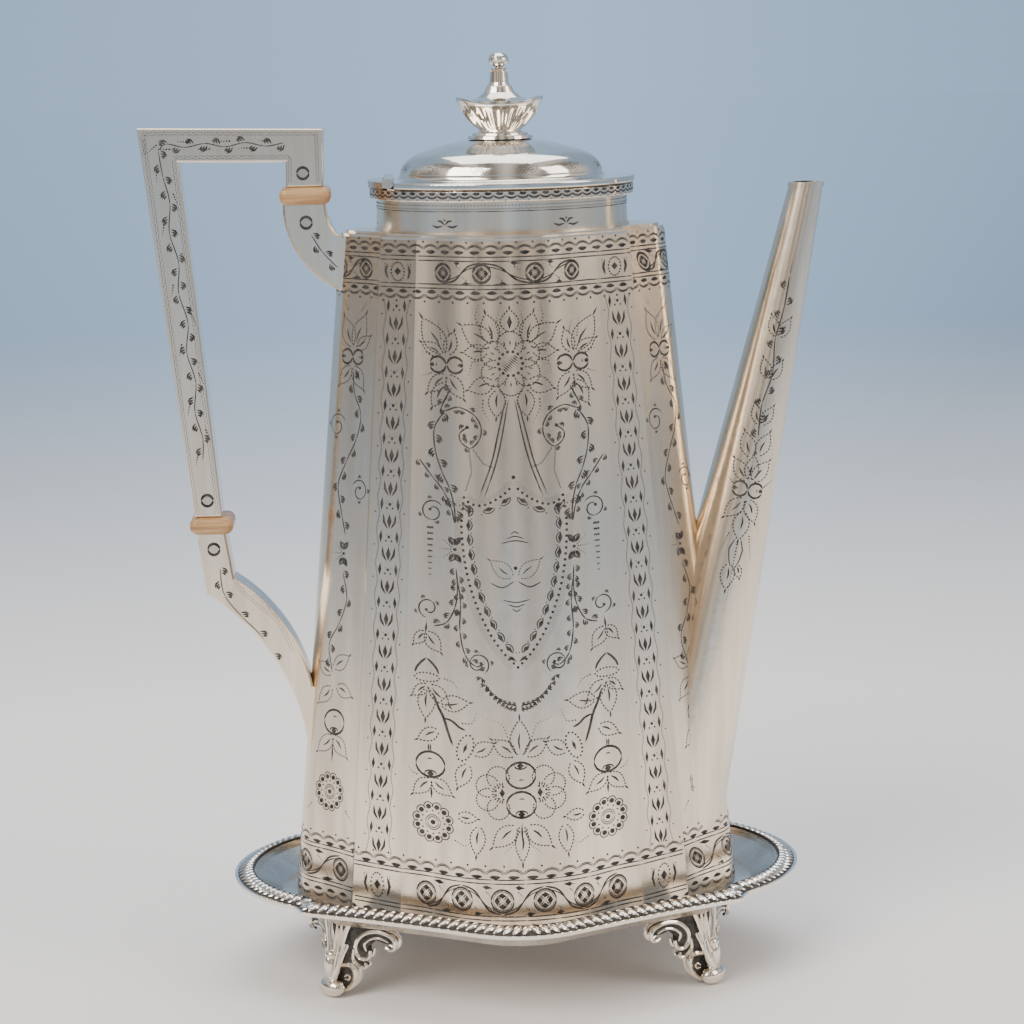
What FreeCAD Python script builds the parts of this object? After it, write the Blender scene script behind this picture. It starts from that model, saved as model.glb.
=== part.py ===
import FreeCAD, Part
import math
import os
from FreeCAD import Placement, Rotation, Vector

# A covered coffee pot on its own footed stand, after the Federal style: a tall
# tapering body of lobes and flat pilasters, straight spout, angular handle with
# two insulating collars, hinged lid with a fluted boat-shaped finial.
# Millimetres. +X towards the spout, -X towards the handle, +Z up. The stand's
# feet rest on Z = 0, and the origin is under the middle of the outer box.

doc = FreeCAD.newDocument("CoffeePot")
sheet = doc.addObject("Spreadsheet::Sheet", "Sizes")

SIZES = [
    ("pot_axis_x", 5.4),          # the pot's upright axis, from the origin
    # plan of the body at its widest engraved band, measured from the axis
    ("band_height", 37.7),
    ("pilaster_in_x", 35.8),      # pilaster edge beside the broad lobe
    ("pilaster_in_y", 41.0),
    ("pilaster_out_x", 50.2),     # pilaster edge beside the end lobe
    ("pilaster_out_y", 30.4),
    ("return_x", 50.7),           # foot of the pilaster's side return
    ("return_y", 23.2),
    ("broad_lobe_y", 56.9),
    ("end_lobe_x", 67.3),
    ("body_base_z", 23.5),
    ("body_top_z", 226.7),
    ("body_taper", 0.001444),     # loss of width for each mm of height
    ("body_wall", 1.2),
    ("base_sheet", 1.0),
    ("shoulder_rise", 1.6),
    # neck, collar and lid are ovals on the pot's axis
    ("neck_x", 37.7),
    ("neck_y", 32.0),
    ("neck_wall", 0.9),
    ("neck_top_z", 237.4),
    ("collar_x", 39.6),
    ("collar_y", 33.7),
    ("collar_top_z", 240.9),
    ("flange_x", 40.1),
    ("flange_y", 34.2),
    ("flange_low_z", 241.0),
    ("flange_top_z", 242.9),
    ("dome_x", 30.8),
    ("dome_y", 26.2),
    ("dome_top_z", 254.7),
    ("dome_wall", 1.0),
    ("bezel_gap", 0.5),
    # lid hinge
    ("hinge_x", 34.0),            # distance of the pin from the axis, handle side
    ("hinge_z", 242.45),
    ("hinge_radius", 1.5),
    ("hinge_pin_radius", 0.8),
    ("hinge_length", 33.0),
    ("knuckle_gap", 0.15),
    # spout
    ("spout_tip_x", 92.3),
    ("spout_tip_z", 239.3),
    ("spout_tip_radius", 5.1),
    ("spout_root_x", 47.4),
    ("spout_root_z", 40.0),
    ("spout_root_radius", 17.2),
    ("spout_root_depth", 18.6),
    ("spout_wall", 1.0),
    ("strainer_hole", 4.2),
    # handle
    ("handle_depth", 12.4),       # across the pot
    ("handle_wall", 1.2),
    ("insulator_high_x", 58.9),
    ("insulator_high_z", 238.9),
    ("insulator_low_x", 90.6),
    ("insulator_low_z", 139.8),
    ("insulator_thick", 5.2),
    ("insulator_long", 15.4),
    ("insulator_low_long", 13.2),
    ("insulator_deep", 16.2),
    ("insulator_edge", 2.3),
    ("tenon_side", 4.8),
    ("tenon_length", 20.4),
    ("handle_pin_radius", 1.25),
    ("handle_pin_proud", 0.3),
    # finial
    ("finial_low_z", 254.4),
    ("bowl_low_z", 257.0),
    ("bowl_rim_z", 266.9),
    ("bowl_long", 13.2),
    ("bowl_wide", 9.4),
    ("stem_radius", 2.8),
    ("ball_radius", 3.05),
    ("ball_half_height", 2.3),
    ("overall_height", 280.0),
    ("stud_radius", 1.5),
    # stand
    ("stand_long", 88.0),
    ("stand_deep", 74.5),
    ("stand_corner_x", 66.0),
    ("stand_corner_y", 45.2),
    ("stand_end_x", 68.5),         # where the rounded end meets the notch
    ("stand_end_y", 38.5),
    ("rim_width", 6.2),
    ("rim_low_z", 28.2),
    ("rim_top_z", 30.0),
    ("tray_sheet", 1.2),
    ("step_width", 1.2),
    ("well_share", 0.91),          # floor of the well against its mouth
    ("foot_x", 55.5),
    ("foot_y", 34.0),
]

for row, (alias, value) in enumerate(SIZES, start=1):
    sheet.set("A%d" % row, alias)
    sheet.set("B%d" % row, repr(value))
    sheet.setAlias("B%d" % row, alias)
doc.recompute()


def size(alias):
    """A driving dimension, read back from the sheet."""
    return float(sheet.get(alias))


def bind(item, **properties):
    """Bind properties of a document object to cells or sums of cells."""
    for name, expression in properties.items():
        item.setExpression(name.replace("__", "."), expression)
    return item


def cell(alias):
    return "Sizes." + alias


PARTS = []


def on_axis(item, label, x=None, y=None, z=None):
    """Name a sub-part and stand it on the pot's axis, with offsets if any."""
    item.Label = label
    across = cell("pot_axis_x") + ((" " + x) if x else "")
    item.setExpression(".Placement.Base.x", across)
    if y:
        item.setExpression(".Placement.Base.y", y)
    if z:
        item.setExpression(".Placement.Base.z", z)
    PARTS.append(item)
    return item


def shaped(label, shape):
    """A sub-part whose curved shape is worked out here from the sheet."""
    item = doc.addObject("Part::Feature", "Shape_" + label)
    item.Shape = shape
    return on_axis(item, label, x="+ %r" % item.Placement.Base.x)


# ---------------------------------------------------------------- outlines

def lobe(start, end, outward, leave, steepest):
    """Bulge between two corners: concave flank, round nose, concave flank.

    leave is the angle at the corner and steepest the angle where the curve
    turns over, both in degrees from the straight line between the corners.
    """
    chord = end - start
    half = chord.Length / 2.0
    along = Vector(chord).normalize()
    middle = (start + end) * 0.5
    normal = Vector(-along.y, along.x, 0)
    if normal.dot(outward - middle) < 0:
        normal = normal * -1.0
    rise = (outward - middle).dot(normal)
    a, b = math.radians(leave), math.radians(steepest)
    # two tangent arcs have to add up to half the chord and the whole rise
    m11, m12 = math.sin(b) - math.sin(a), math.sin(b)
    m21, m22 = math.cos(a) - math.cos(b), 1.0 - math.cos(b)
    det = m11 * m22 - m12 * m21
    flank = (half * m22 - m12 * rise) / det
    nose = (m11 * rise - m21 * half) / det

    def at(u, v):
        return middle + along * u + normal * v

    def flank_point(angle):
        u = flank * (math.sin(angle) - math.sin(a))
        v = flank * (math.cos(a) - math.cos(angle))
        return u - half, v

    turn = flank_point(b)
    waist = flank_point((a + b) / 2.0)
    left = Part.Arc(start, at(*waist), at(*turn))
    nose_arc = Part.Arc(at(*turn), at(0, rise), at(-turn[0], turn[1]))
    right = Part.Arc(at(-turn[0], turn[1]), at(-waist[0], waist[1]), end)
    return [left.toShape(), nose_arc.toShape(), right.toShape()]


def line(start, end):
    return Part.LineSegment(start, end).toShape()


def body_outline(scale=1.0):
    """Plan of the body at the widest band, as one closed wire."""
    px, py = size("pilaster_in_x"), size("pilaster_in_y")
    qx, qy = size("pilaster_out_x"), size("pilaster_out_y")
    rx, ry = size("return_x"), size("return_y")
    edges = []
    edges += lobe(Vector(rx, -ry), Vector(rx, ry),
                  Vector(size("end_lobe_x"), 0), 40, 48)
    edges += [line(Vector(rx, ry), Vector(qx, qy))]
    edges += [line(Vector(qx, qy), Vector(px, py))]
    edges += lobe(Vector(px, py), Vector(-px, py),
                  Vector(0, size("broad_lobe_y")), 25, 39)
    edges += [line(Vector(-px, py), Vector(-qx, qy))]
    edges += [line(Vector(-qx, qy), Vector(-rx, ry))]
    edges += lobe(Vector(-rx, ry), Vector(-rx, -ry),
                  Vector(-size("end_lobe_x"), 0), 40, 48)
    edges += [line(Vector(-rx, -ry), Vector(-qx, -qy))]
    edges += [line(Vector(-qx, -qy), Vector(-px, -py))]
    edges += lobe(Vector(-px, -py), Vector(px, -py),
                  Vector(0, -size("broad_lobe_y")), 25, 39)
    edges += [line(Vector(px, -py), Vector(qx, -qy))]
    edges += [line(Vector(qx, -qy), Vector(rx, -ry))]
    wire = Part.Wire(edges)
    if scale != 1.0:
        wire.scale(scale, Vector(0, 0, 0))
    return wire


def body_scale(z):
    """Width of the body at a height, as a share of the widest band."""
    return 1.0 - size("body_taper") * (z - size("band_height"))


def at_height(wire, z):
    copy = wire.copy()
    copy.translate(Vector(0, 0, z))
    return copy


def inset(wire, distance):
    """The same plan, moved in by a distance."""
    return wire.makeOffset2D(-distance, 2, False, False, True)


def tapered(plan, low, high):
    """Solid that follows the body's taper between two heights."""
    wires = []
    for z in (low, high):
        ring = plan.copy()
        ring.scale(body_scale(z), Vector(0, 0, 0))
        ring.translate(Vector(0, 0, z))
        wires.append(ring)
    return Part.makeLoft(wires, True, True)


def oval(x, y, low, high):
    """Upright oval cylinder on the axis."""
    curve = Part.Ellipse(Vector(0, 0, 0), max(x, y), min(x, y))
    wire = Part.Wire([curve.toShape()])
    wire.translate(Vector(0, 0, low))
    return Part.Face(wire).extrude(Vector(0, 0, high - low))


def stand_outline():
    """Plan of the stand: rounded ends, four notched corners, bowed sides."""
    cx, cy = size("stand_corner_x"), size("stand_corner_y")
    ex, ey, long = size("stand_end_x"), size("stand_end_y"), size("stand_long")
    edges = [Part.Arc(Vector(ex, -ey), Vector(long, 0), Vector(ex, ey)).toShape()]
    edges += [line(Vector(ex, ey), Vector(cx, cy))]
    edges += lobe(Vector(cx, cy), Vector(-cx, cy),
                  Vector(0, size("stand_deep")), 23, 30)
    edges += [line(Vector(-cx, cy), Vector(-ex, ey))]
    edges += [Part.Arc(Vector(-ex, ey), Vector(-long, 0), Vector(-ex, -ey)).toShape()]
    edges += [line(Vector(-ex, -ey), Vector(-cx, -cy))]
    edges += lobe(Vector(-cx, -cy), Vector(cx, -cy),
                  Vector(0, -size("stand_deep")), 23, 30)
    edges += [line(Vector(cx, -cy), Vector(ex, -ey))]
    return Part.Wire(edges)


def prism(wire, low, high):
    return Part.Face(at_height(wire, low)).extrude(Vector(0, 0, high - low))


# ------------------------------------------------------------------- stand

def well_solid(plan, low, high):
    """Sloping-sided filling of the well, its mouth on the plan given."""
    rings = []
    for z, share in ((low, size("well_share")), (high, 1.0)):
        ring = plan.copy()
        ring.scale(share, Vector(0, 0, 0))
        ring.translate(Vector(0, 0, z))
        rings.append(ring)
    return Part.makeLoft(rings, True, True)


def make_stand_tray():
    """Sunk well of one sheet, its sloping side, and the ledge under the border."""
    plan = stand_outline()
    sheet_t = size("tray_sheet")
    well_top = size("body_base_z")
    ledge = size("rim_low_z")
    step_out = inset(plan, size("rim_width"))
    step_in = inset(plan, size("rim_width") + size("step_width"))
    dish = well_solid(step_out, well_top - sheet_t, ledge)
    flange = prism(inset(plan, 5.0), ledge - sheet_t, ledge)
    tray = dish.fuse(flange).cut(well_solid(step_in, well_top, ledge))
    return shaped("stand_tray", tray.removeSplitter())


def make_stand_rim():
    """Raised gadrooned border soldered on the ledge."""
    plan = stand_outline()
    low, top = size("rim_low_z"), size("rim_top_z")
    outer = prism(plan, low, low + 1.0)
    outer = outer.fuse([prism(inset(plan, 2.4), low + 1.0, low + 1.4),
                        prism(inset(plan, 4.0), low + 1.4, top)])
    ring = outer.cut(prism(inset(plan, size("rim_width")), low - 1, top + 1))
    return shaped("stand_rim", ring.removeSplitter())


def make_foot(label, sx, sy):
    """Cast foot: two scroll wings under the rim, a leg and a knob toe."""
    x, y = sx * size("foot_x"), sy * size("foot_y")
    top = size("rim_low_z") - size("tray_sheet")
    wing_x = Part.makeBox(22.0, 4.0, 9.0)
    wing_x.translate(Vector(-22.0, -2.0, -9.0))
    wing_x.rotate(Vector(0, 0, 0), Vector(0, 0, 1), -27.0)
    wing_y = Part.makeBox(4.0, 20.0, 9.0)
    wing_y.translate(Vector(-2.0, -20.0, -9.0))
    wing_y.rotate(Vector(0, 0, 0), Vector(0, 0, 1), 25.0)
    leg = Part.makeCone(3.6, 6.4, 17.5, Vector(0, 0, -17.5), Vector(0, 0, 1))
    toe = Part.makeCylinder(4.6, top - 17.5, Vector(0, 0, -top), Vector(0, 0, 1))
    foot = leg.fuse([wing_x, wing_y, toe]).removeSplitter()
    if sx < 0:
        foot = foot.mirror(Vector(0, 0, 0), Vector(1, 0, 0))
    if sy < 0:
        foot = foot.mirror(Vector(0, 0, 0), Vector(0, 1, 0))
    foot.translate(Vector(x, y, top))
    well = inset(stand_outline(), size("rim_width"))
    foot = foot.cut(well_solid(well, size("body_base_z") - size("tray_sheet"),
                               size("rim_low_z")))
    return shaped(label, foot)


# -------------------------------------------------------------------- body

def body_solid(extra_low=0.0, extra_high=0.0):
    plan = body_outline()
    return tapered(plan, size("body_base_z") - extra_low,
                   size("body_top_z") + extra_high)


def make_body_shell():
    """Seamed sheet body, open above and below, pierced behind the spout."""
    inner_plan = inset(body_outline(), size("body_wall"))
    inner = tapered(inner_plan, size("body_base_z") - 1, size("body_top_z") + 1)
    shell = body_solid().cut(inner)
    holes = []
    bore = size("strainer_hole") / 2.0
    for column, across in enumerate((-6.6, 0.0, 6.6)):
        shift = 5.0 if column == 1 else 0.0
        for step in range(6):
            z = 60.0 + 10.0 * step + shift
            holes.append(Part.makeCylinder(bore, 40.0, Vector(38, across, z),
                                           Vector(1, 0, 0)))
    shell = shell.cut(Part.makeCompound(holes))
    return shaped("body_shell", shell)


def make_base_plate():
    """Flat bottom let into the foot of the body."""
    low = size("body_base_z")
    high = low + size("base_sheet")
    plan = inset(body_outline(), size("body_wall"))
    return shaped("base_plate", tapered(plan, low, high))


def make_shoulder_plate():
    """Top of the body, flat to the neck, with the neck's opening."""
    top = size("body_top_z")
    plan = inset(body_outline(body_scale(top)), 0.2)
    plate = prism(plan, top, top + size("shoulder_rise") / 2.0)
    crown = prism(inset(plan, 1.6), top, top + size("shoulder_rise"))
    plate = plate.fuse(crown).removeSplitter()
    mouth = oval(size("neck_x") - size("neck_wall"),
                 size("neck_y") - size("neck_wall"), top - 1, top + 5)
    return shaped("shoulder_plate", plate.cut(mouth))


def make_neck_collar():
    """Oval neck with a small flare where it is soldered to the shoulder."""
    low = size("body_top_z") + size("shoulder_rise")
    x, y, wall = size("neck_x"), size("neck_y"), size("neck_wall")
    neck = oval(x, y, low, size("neck_top_z"))
    for k in range(3):
        grow = 0.7 * (1.0 - k / 3.0) ** 2
        neck = neck.fuse(oval(x + grow, y + grow, low, low + 0.5 * (k + 1)))
    bore = oval(x - wall, y - wall, low - 1, size("neck_top_z") + 1)
    return shaped("neck_collar", neck.cut(bore).removeSplitter())


def make_collar_band():
    """Stout oval band round the mouth, on which the lid sits."""
    low, top = size("neck_top_z"), size("collar_top_z")
    x, y = size("collar_x"), size("collar_y")
    wall = size("neck_wall")
    band = oval(x, y, low, top)
    long_edges = [e for e in band.Edges if e.Length > 50]
    band = band.makeFillet(0.5, long_edges)
    bore = oval(size("neck_x") - wall, size("neck_y") - wall, low - 1, top + 1)
    return shaped("collar_band", band.cut(bore))


# ------------------------------------------------------------------- hinge

HINGE_REACH = 1.7                 # from the pin's line to either plate's edge


def hinge_barrel(start, length, bore):
    """One knuckle of the lid's hinge, along Y."""
    place = Vector(-size("hinge_x"), start, size("hinge_z"))
    outer = Part.makeCylinder(size("hinge_radius"), length, place, Vector(0, 1, 0))
    hole = Part.makeCylinder(bore, length + 2, place - Vector(0, 1, 0),
                             Vector(0, 1, 0))
    return outer, hole


def make_knuckle(label, k, side, bore):
    """Knuckle number k of five, with its web to the plate on one side."""
    pitch = size("hinge_length") / 5
    gap = size("knuckle_gap")
    start = -size("hinge_length") / 2.0 + k * pitch + gap / 2.0
    outer, hole = hinge_barrel(start, pitch - gap, bore)
    web = Part.makeBox(HINGE_REACH, pitch - gap, 1.6)
    x = -size("hinge_x") + (0.0 if side > 0 else -HINGE_REACH)
    web.translate(Vector(x, start, size("hinge_z") - 1.2))
    return shaped(label, outer.fuse(web).cut(hole).removeSplitter())


def make_hinge_plate():
    """Fixed end of the flange, soldered on the collar by the handle."""
    edge = -size("hinge_x") - HINGE_REACH
    plate = oval(size("flange_x"), size("flange_y"), size("collar_top_z"),
                 size("flange_top_z"))
    keep = Part.makeBox(20, 80, 20, Vector(edge - 20, -40, 230))
    return shaped("hinge_plate", plate.common(keep))


def make_hinge_pin():
    pin = doc.addObject("Part::Cylinder", "HingePin")
    bind(pin, Radius=cell("hinge_pin_radius"), Height=cell("hinge_length"))
    pin.Placement = Placement(Vector(0, 0, 0), Rotation(Vector(1, 0, 0), -90))
    return on_axis(pin, "hinge_pin", x="- " + cell("hinge_x"),
                   y="0 - %s / 2" % cell("hinge_length"), z=cell("hinge_z"))


# ------------------------------------------------------------------- spout

def spout_ring(z, thinner):
    """Level section of the spout at a height, as a wire."""
    low, high = size("spout_root_z"), size("spout_tip_z")
    share = (z - low) / (high - low)
    x = size("spout_root_x") * (1 - share) + size("spout_tip_x") * share
    long_r = size("spout_root_radius") * (1 - share)
    long_r += size("spout_tip_radius") * share - thinner
    deep_r = size("spout_root_depth") * (1 - share)
    deep_r += size("spout_tip_radius") * share - thinner
    deep_r = max(deep_r, long_r + 0.01)
    curve = Part.Ellipse(Vector(x, deep_r, z), Vector(x - long_r, 0, z),
                         Vector(x, 0, z))
    return Part.Wire([curve.toShape()])


def spout_solid(low, high, thinner=0.0):
    return Part.makeLoft([spout_ring(low, thinner), spout_ring(high, thinner)],
                         True, True)


def make_spout():
    """Straight tapered spout of seamed sheet, cut to the body's end lobe."""
    low, high = size("spout_root_z"), size("spout_tip_z")
    outer = spout_solid(low, high)
    inner = spout_solid(low - 2, high + 2, size("spout_wall"))
    tube = outer.cut(inner).cut(body_solid(20.0, 20.0))
    solids = sorted(tube.Solids, key=lambda s: s.Volume)
    return shaped("spout", solids[-1])


def make_spout_tip_band():
    """Thin wire applied round the mouth of the spout."""
    high = size("spout_tip_z")
    band = spout_solid(high - 1.4, high, -0.35)
    core = spout_solid(high - 2.4, high + 1.0, 0.0)
    return shaped("spout_tip_band", band.cut(core))


# ------------------------------------------------------------------ handle

def sketch_on(body, name, role):
    """Empty sketch on one of the body's own origin planes."""
    plane = [f for f in body.Origin.OriginFeatures if f.Role == role][0]
    sketch = body.newObject("Sketcher::SketchObject", name)
    sketch.AttachmentSupport = [(plane, "")]
    sketch.MapMode = "FlatFace"
    return sketch


def closed_polygon(sketch, points):
    corners = [Vector(x, y, 0) for x, y in points]
    for k, corner in enumerate(corners):
        nxt = corners[(k + 1) % len(corners)]
        sketch.addGeometry(Part.LineSegment(corner, nxt), False)


def grip_outline(shrink=0.0, open_end=0.0):
    """Side view of the angular grip, as X and Z, moved in by shrink."""
    high = size("insulator_high_z") + size("insulator_thick") / 2.0 - open_end
    low = size("insulator_low_z") + size("insulator_thick") / 2.0 - open_end
    s = shrink
    return [
        (-108.1 + s * 0.95, 260.1 - s), (-52.9 - s, 258.7 - s),
        (-53.4 - s, high), (-64.5 + s, high), (-64.3 + s, 249.0 + s),
        (-96.1 - s * 0.95, 249.7 + s), (-87.2 - s, low), (-95.6 + s, low),
    ]


def make_handle_grip():
    """Hollow grip: upright, top bar and short leg, mitred and soldered."""
    body = doc.addObject("PartDesign::Body", "HandleGrip")
    side = sketch_on(body, "GripSide", "XZ_Plane")
    closed_polygon(side, grip_outline())
    pad = body.newObject("PartDesign::Pad", "GripPad")
    pad.Profile = side
    pad.Midplane = True
    bind(pad, Length=cell("handle_depth"))
    doc.recompute()
    edges = []
    for k, edge in enumerate(pad.Shape.Edges, start=1):
        ends = [v.Point for v in edge.Vertexes]
        if abs(ends[0].y - ends[1].y) < 0.01:
            edges.append("Edge%d" % k)
    soft = body.newObject("PartDesign::Fillet", "GripSoftEdges")
    soft.Base = (pad, edges)
    soft.Radius = 0.7
    doc.recompute()
    hollow = sketch_on(body, "GripHollow", "XZ_Plane")
    closed_polygon(hollow, grip_outline(size("handle_wall"), 1.0))
    pocket = body.newObject("PartDesign::Pocket", "GripHollowed")
    pocket.Profile = hollow
    pocket.Midplane = True
    bind(pocket, Length="%s - 2 * %s" % (cell("handle_depth"), cell("handle_wall")))
    doc.recompute()
    holes = sketch_on(body, "GripPinHoles", "XZ_Plane")
    for x, z in GRIP_PINS:
        circle = Part.Circle(Vector(x, z, 0), Vector(0, 0, 1),
                             size("handle_pin_radius"))
        holes.addGeometry(circle, False)
    drilled = body.newObject("PartDesign::Pocket", "GripDrilled")
    drilled.Profile = holes
    drilled.Midplane = True
    bind(drilled, Length="%s + 4" % cell("handle_depth"))
    doc.recompute()
    body.Tip = drilled
    return on_axis(body, "handle_grip")


GRIP_PINS = [(-59.3, 245.7), (-91.6, 147.7)]
SOCKET_PINS = [(-58.8, 231.0), (-90.2, 132.6)]
TENON_IN = 7.6                    # depth of the mortises below each insulator


def side_prism(edges):
    """Solid as thick as the handle from a closed side view in X and Z."""
    wire = Part.Wire(edges)
    depth = size("handle_depth")
    solid = Part.Face(wire).extrude(Vector(0, depth, 0))
    solid.translate(Vector(0, -depth / 2.0, 0))
    return solid


def side_point(x, z):
    return Vector(x, 0, z)


def side_line(*ends):
    return Part.LineSegment(side_point(*ends[0]), side_point(*ends[1])).toShape()


def side_arc(first, middle, last):
    return Part.Arc(side_point(*first), side_point(*middle),
                    side_point(*last)).toShape()


def soften(solid, radius, near):
    """Bevel the edges of the two flat faces that pass by the given points."""
    half = size("handle_depth") / 2.0
    edges = []
    for x, z in near:
        for side in (-half, half):
            spot = Part.Vertex(Vector(x, side, z))
            edges.append(min(solid.Edges, key=lambda e: e.distToShape(spot)[0]))
    return solid.makeChamfer(radius, edges)


def drill(solid, pins):
    depth = size("handle_depth") + 10
    for x, z in pins:
        solid = solid.cut(Part.makeCylinder(
            size("handle_pin_radius"), depth, Vector(x, -depth / 2.0, z),
            Vector(0, 1, 0)))
    return solid


def mortise(solid, x, z, length):
    """Square hole for an insulator's tenon."""
    side = size("tenon_side")
    block = Part.makeBox(side, side, length,
                         Vector(x - side / 2.0, -side / 2.0, z))
    return solid.cut(block)


def make_handle_upper_socket():
    """Cast socket that curves from the upper insulator into the shoulder."""
    top = size("insulator_high_z") - size("insulator_thick") / 2.0
    low = size("body_top_z")
    edges = [
        side_line((-65.6, top), (-65.6, 233.5)),
        side_arc((-65.6, 233.5), (-60.9, 220.4), (-46.0, 209.0)),
        side_line((-46.0, 209.0), (-46.0, low)),
        side_line((-46.0, low), (-49.0, low)),
        side_arc((-49.0, low), (-51.8, 230.8), (-52.9, top)),
        side_line((-52.9, top), (-65.6, top)),
    ]
    solid = side_prism(edges).cut(body_solid(5.0, 5.0))
    solid = soften(solid, 0.6, ((-65.6, 235.0), (-61.0, 220.5), (-51.8, 230.8)))
    solid = mortise(solid, -size("insulator_high_x"), top - TENON_IN, 12.0)
    solid = drill(solid, SOCKET_PINS[:1])
    return shaped("handle_upper_socket", solid)


def make_handle_lower_socket():
    """Cast socket, elbow and swept arm down to the side of the body."""
    top = size("insulator_low_z") - size("insulator_thick") / 2.0
    edges = [
        side_line((-95.1, top), (-92.9, 118.6)),
        side_arc((-92.9, 118.6), (-76.4, 103.0), (-63.2, 64.6)),
        side_line((-63.2, 64.6), (-56.0, 64.6)),
        side_line((-56.0, 64.6), (-56.0, 88.7)),
        side_line((-56.0, 88.7), (-61.4, 88.7)),
        side_arc((-61.4, 88.7), (-69.4, 108.2), (-84.4, 123.4)),
        side_line((-84.4, 123.4), (-86.5, top)),
        side_line((-86.5, top), (-95.1, top)),
    ]
    solid = side_prism(edges).cut(body_solid(5.0, 5.0))
    solid = soften(solid, 0.6, ((-94.0, 128.0), (-76.4, 103.0),
                                (-69.4, 108.2), (-85.4, 130.0)))
    solid = mortise(solid, -size("insulator_low_x"), top - TENON_IN, 12.0)
    solid = drill(solid, SOCKET_PINS[1:])
    return shaped("handle_lower_socket", solid)


def make_insulator(label, name, long_cell, x_cell, z_cell):
    """Turned-edge collar with a square tenon up and one down."""
    body = doc.addObject("PartDesign::Body", name)
    plan = sketch_on(body, name + "Plan", "XY_Plane")
    a, b = size(long_cell) / 2.0, size("insulator_deep") / 2.0
    closed_polygon(plan, [(-a, -b), (a, -b), (a, b), (-a, b)])
    pad = body.newObject("PartDesign::Pad", name + "Pad")
    pad.Profile = plan
    pad.Midplane = True
    bind(pad, Length=cell("insulator_thick"))
    doc.recompute()
    edges = ["Edge%d" % (k + 1) for k in range(len(pad.Shape.Edges))]
    soft = body.newObject("PartDesign::Fillet", name + "Edge")
    soft.Base = (pad, edges)
    bind(soft, Radius=cell("insulator_edge"))
    doc.recompute()
    square = sketch_on(body, name + "TenonPlan", "XY_Plane")
    t = size("tenon_side") / 2.0
    closed_polygon(square, [(-t, -t), (t, -t), (t, t), (-t, t)])
    tenon = body.newObject("PartDesign::Pad", name + "Tenon")
    tenon.Profile = square
    tenon.Midplane = True
    bind(tenon, Length=cell("tenon_length"))
    doc.recompute()
    body.Tip = tenon
    return on_axis(body, label, x="- " + cell(x_cell), z=cell(z_cell))


def drill_insulator(item, pins):
    """Cross holes for the two pins, as a cut of the finished collar."""
    tools = []
    for k, (x, z) in enumerate(pins):
        tool = doc.addObject("Part::Cylinder", item.Name + "Drill%d" % k)
        bind(tool, Radius=cell("handle_pin_radius"),
             Height="%s + 10" % cell("handle_depth"))
        tool.Placement = Placement(Vector(x + size("pot_axis_x"), 0, z),
                                   Rotation(Vector(1, 0, 0), -90))
        tool.setExpression(".Placement.Base.y",
                           "0 - (%s + 10) / 2" % cell("handle_depth"))
        tools.append(tool)
    drills = doc.addObject("Part::MultiFuse", item.Name + "Drills")
    drills.Shapes = tools
    cut = doc.addObject("Part::Cut", item.Name + "Drilled")
    cut.Base = item
    cut.Tool = drills
    label = item.Label
    item.Label = label + "_blank"
    cut.Label = label
    PARTS.remove(item)
    PARTS.append(cut)
    return cut


def make_handle_pin(label, name, x, z):
    """Silver pin through socket and tenon, riveted a little proud."""
    pin = doc.addObject("Part::Cylinder", name)
    bind(pin, Radius=cell("handle_pin_radius"),
         Height="%s + 2 * %s" % (cell("handle_depth"), cell("handle_pin_proud")))
    pin.Placement = Placement(Vector(0, 0, z), Rotation(Vector(1, 0, 0), -90))
    return on_axis(pin, label, x="- %.3f" % -x,
                   y="0 - %s / 2 - %s" % (cell("handle_depth"),
                                          cell("handle_pin_proud")))


# --------------------------------------------------------------------- lid

def squashed(profile, x, y):
    """Solid of revolution of a profile in X and Z, pressed to an oval."""
    points = [Vector(r, 0, z) for r, z in profile]
    wire = Part.makePolygon(points + [points[0]])
    solid = Part.Face(wire).revolve(Vector(0, 0, 0), Vector(0, 0, 1), 360)
    matrix = FreeCAD.Matrix()
    matrix.scale(1.0, y / x, 1.0)
    return solid.transformGeometry(matrix)


def spun(wire, x, y):
    solid = Part.Face(wire).revolve(Vector(0, 0, 0), Vector(0, 0, 1), 360)
    matrix = FreeCAD.Matrix()
    matrix.scale(1.0, y / x, 1.0)
    return solid.transformGeometry(matrix)


def make_lid_flange():
    """Moving part of the flange round the lid, open under the dome."""
    low, top = size("flange_low_z"), size("flange_top_z")
    ring = oval(size("flange_x"), size("flange_y"), low, top)
    rims = [e for e in ring.Edges if e.Length > 50]
    ring = ring.makeFillet(0.5, rims)
    hole = oval(size("dome_x") - 2.2, size("dome_y") - 2.2, low - 1, top + 1)
    edge = -size("hinge_x") + HINGE_REACH
    keep = Part.makeBox(90, 90, 20, Vector(edge, -45, low - 5))
    return shaped("lid_flange", ring.cut(hole).common(keep))


def make_lid_bezel():
    """Oval tongue under the flange that enters the neck."""
    gap = size("bezel_gap") + size("neck_wall")
    x, y = size("neck_x") - gap, size("neck_y") - gap
    low, top = size("flange_low_z") - 3.4, size("flange_low_z")
    ring = oval(x, y, low, top).cut(oval(x - 0.9, y - 0.9, low - 1, top + 1))
    keep = Part.makeBox(90, 90, 20, Vector(-size("hinge_x") + 4.5, -45, low - 5))
    return shaped("lid_bezel", ring.common(keep))


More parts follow.
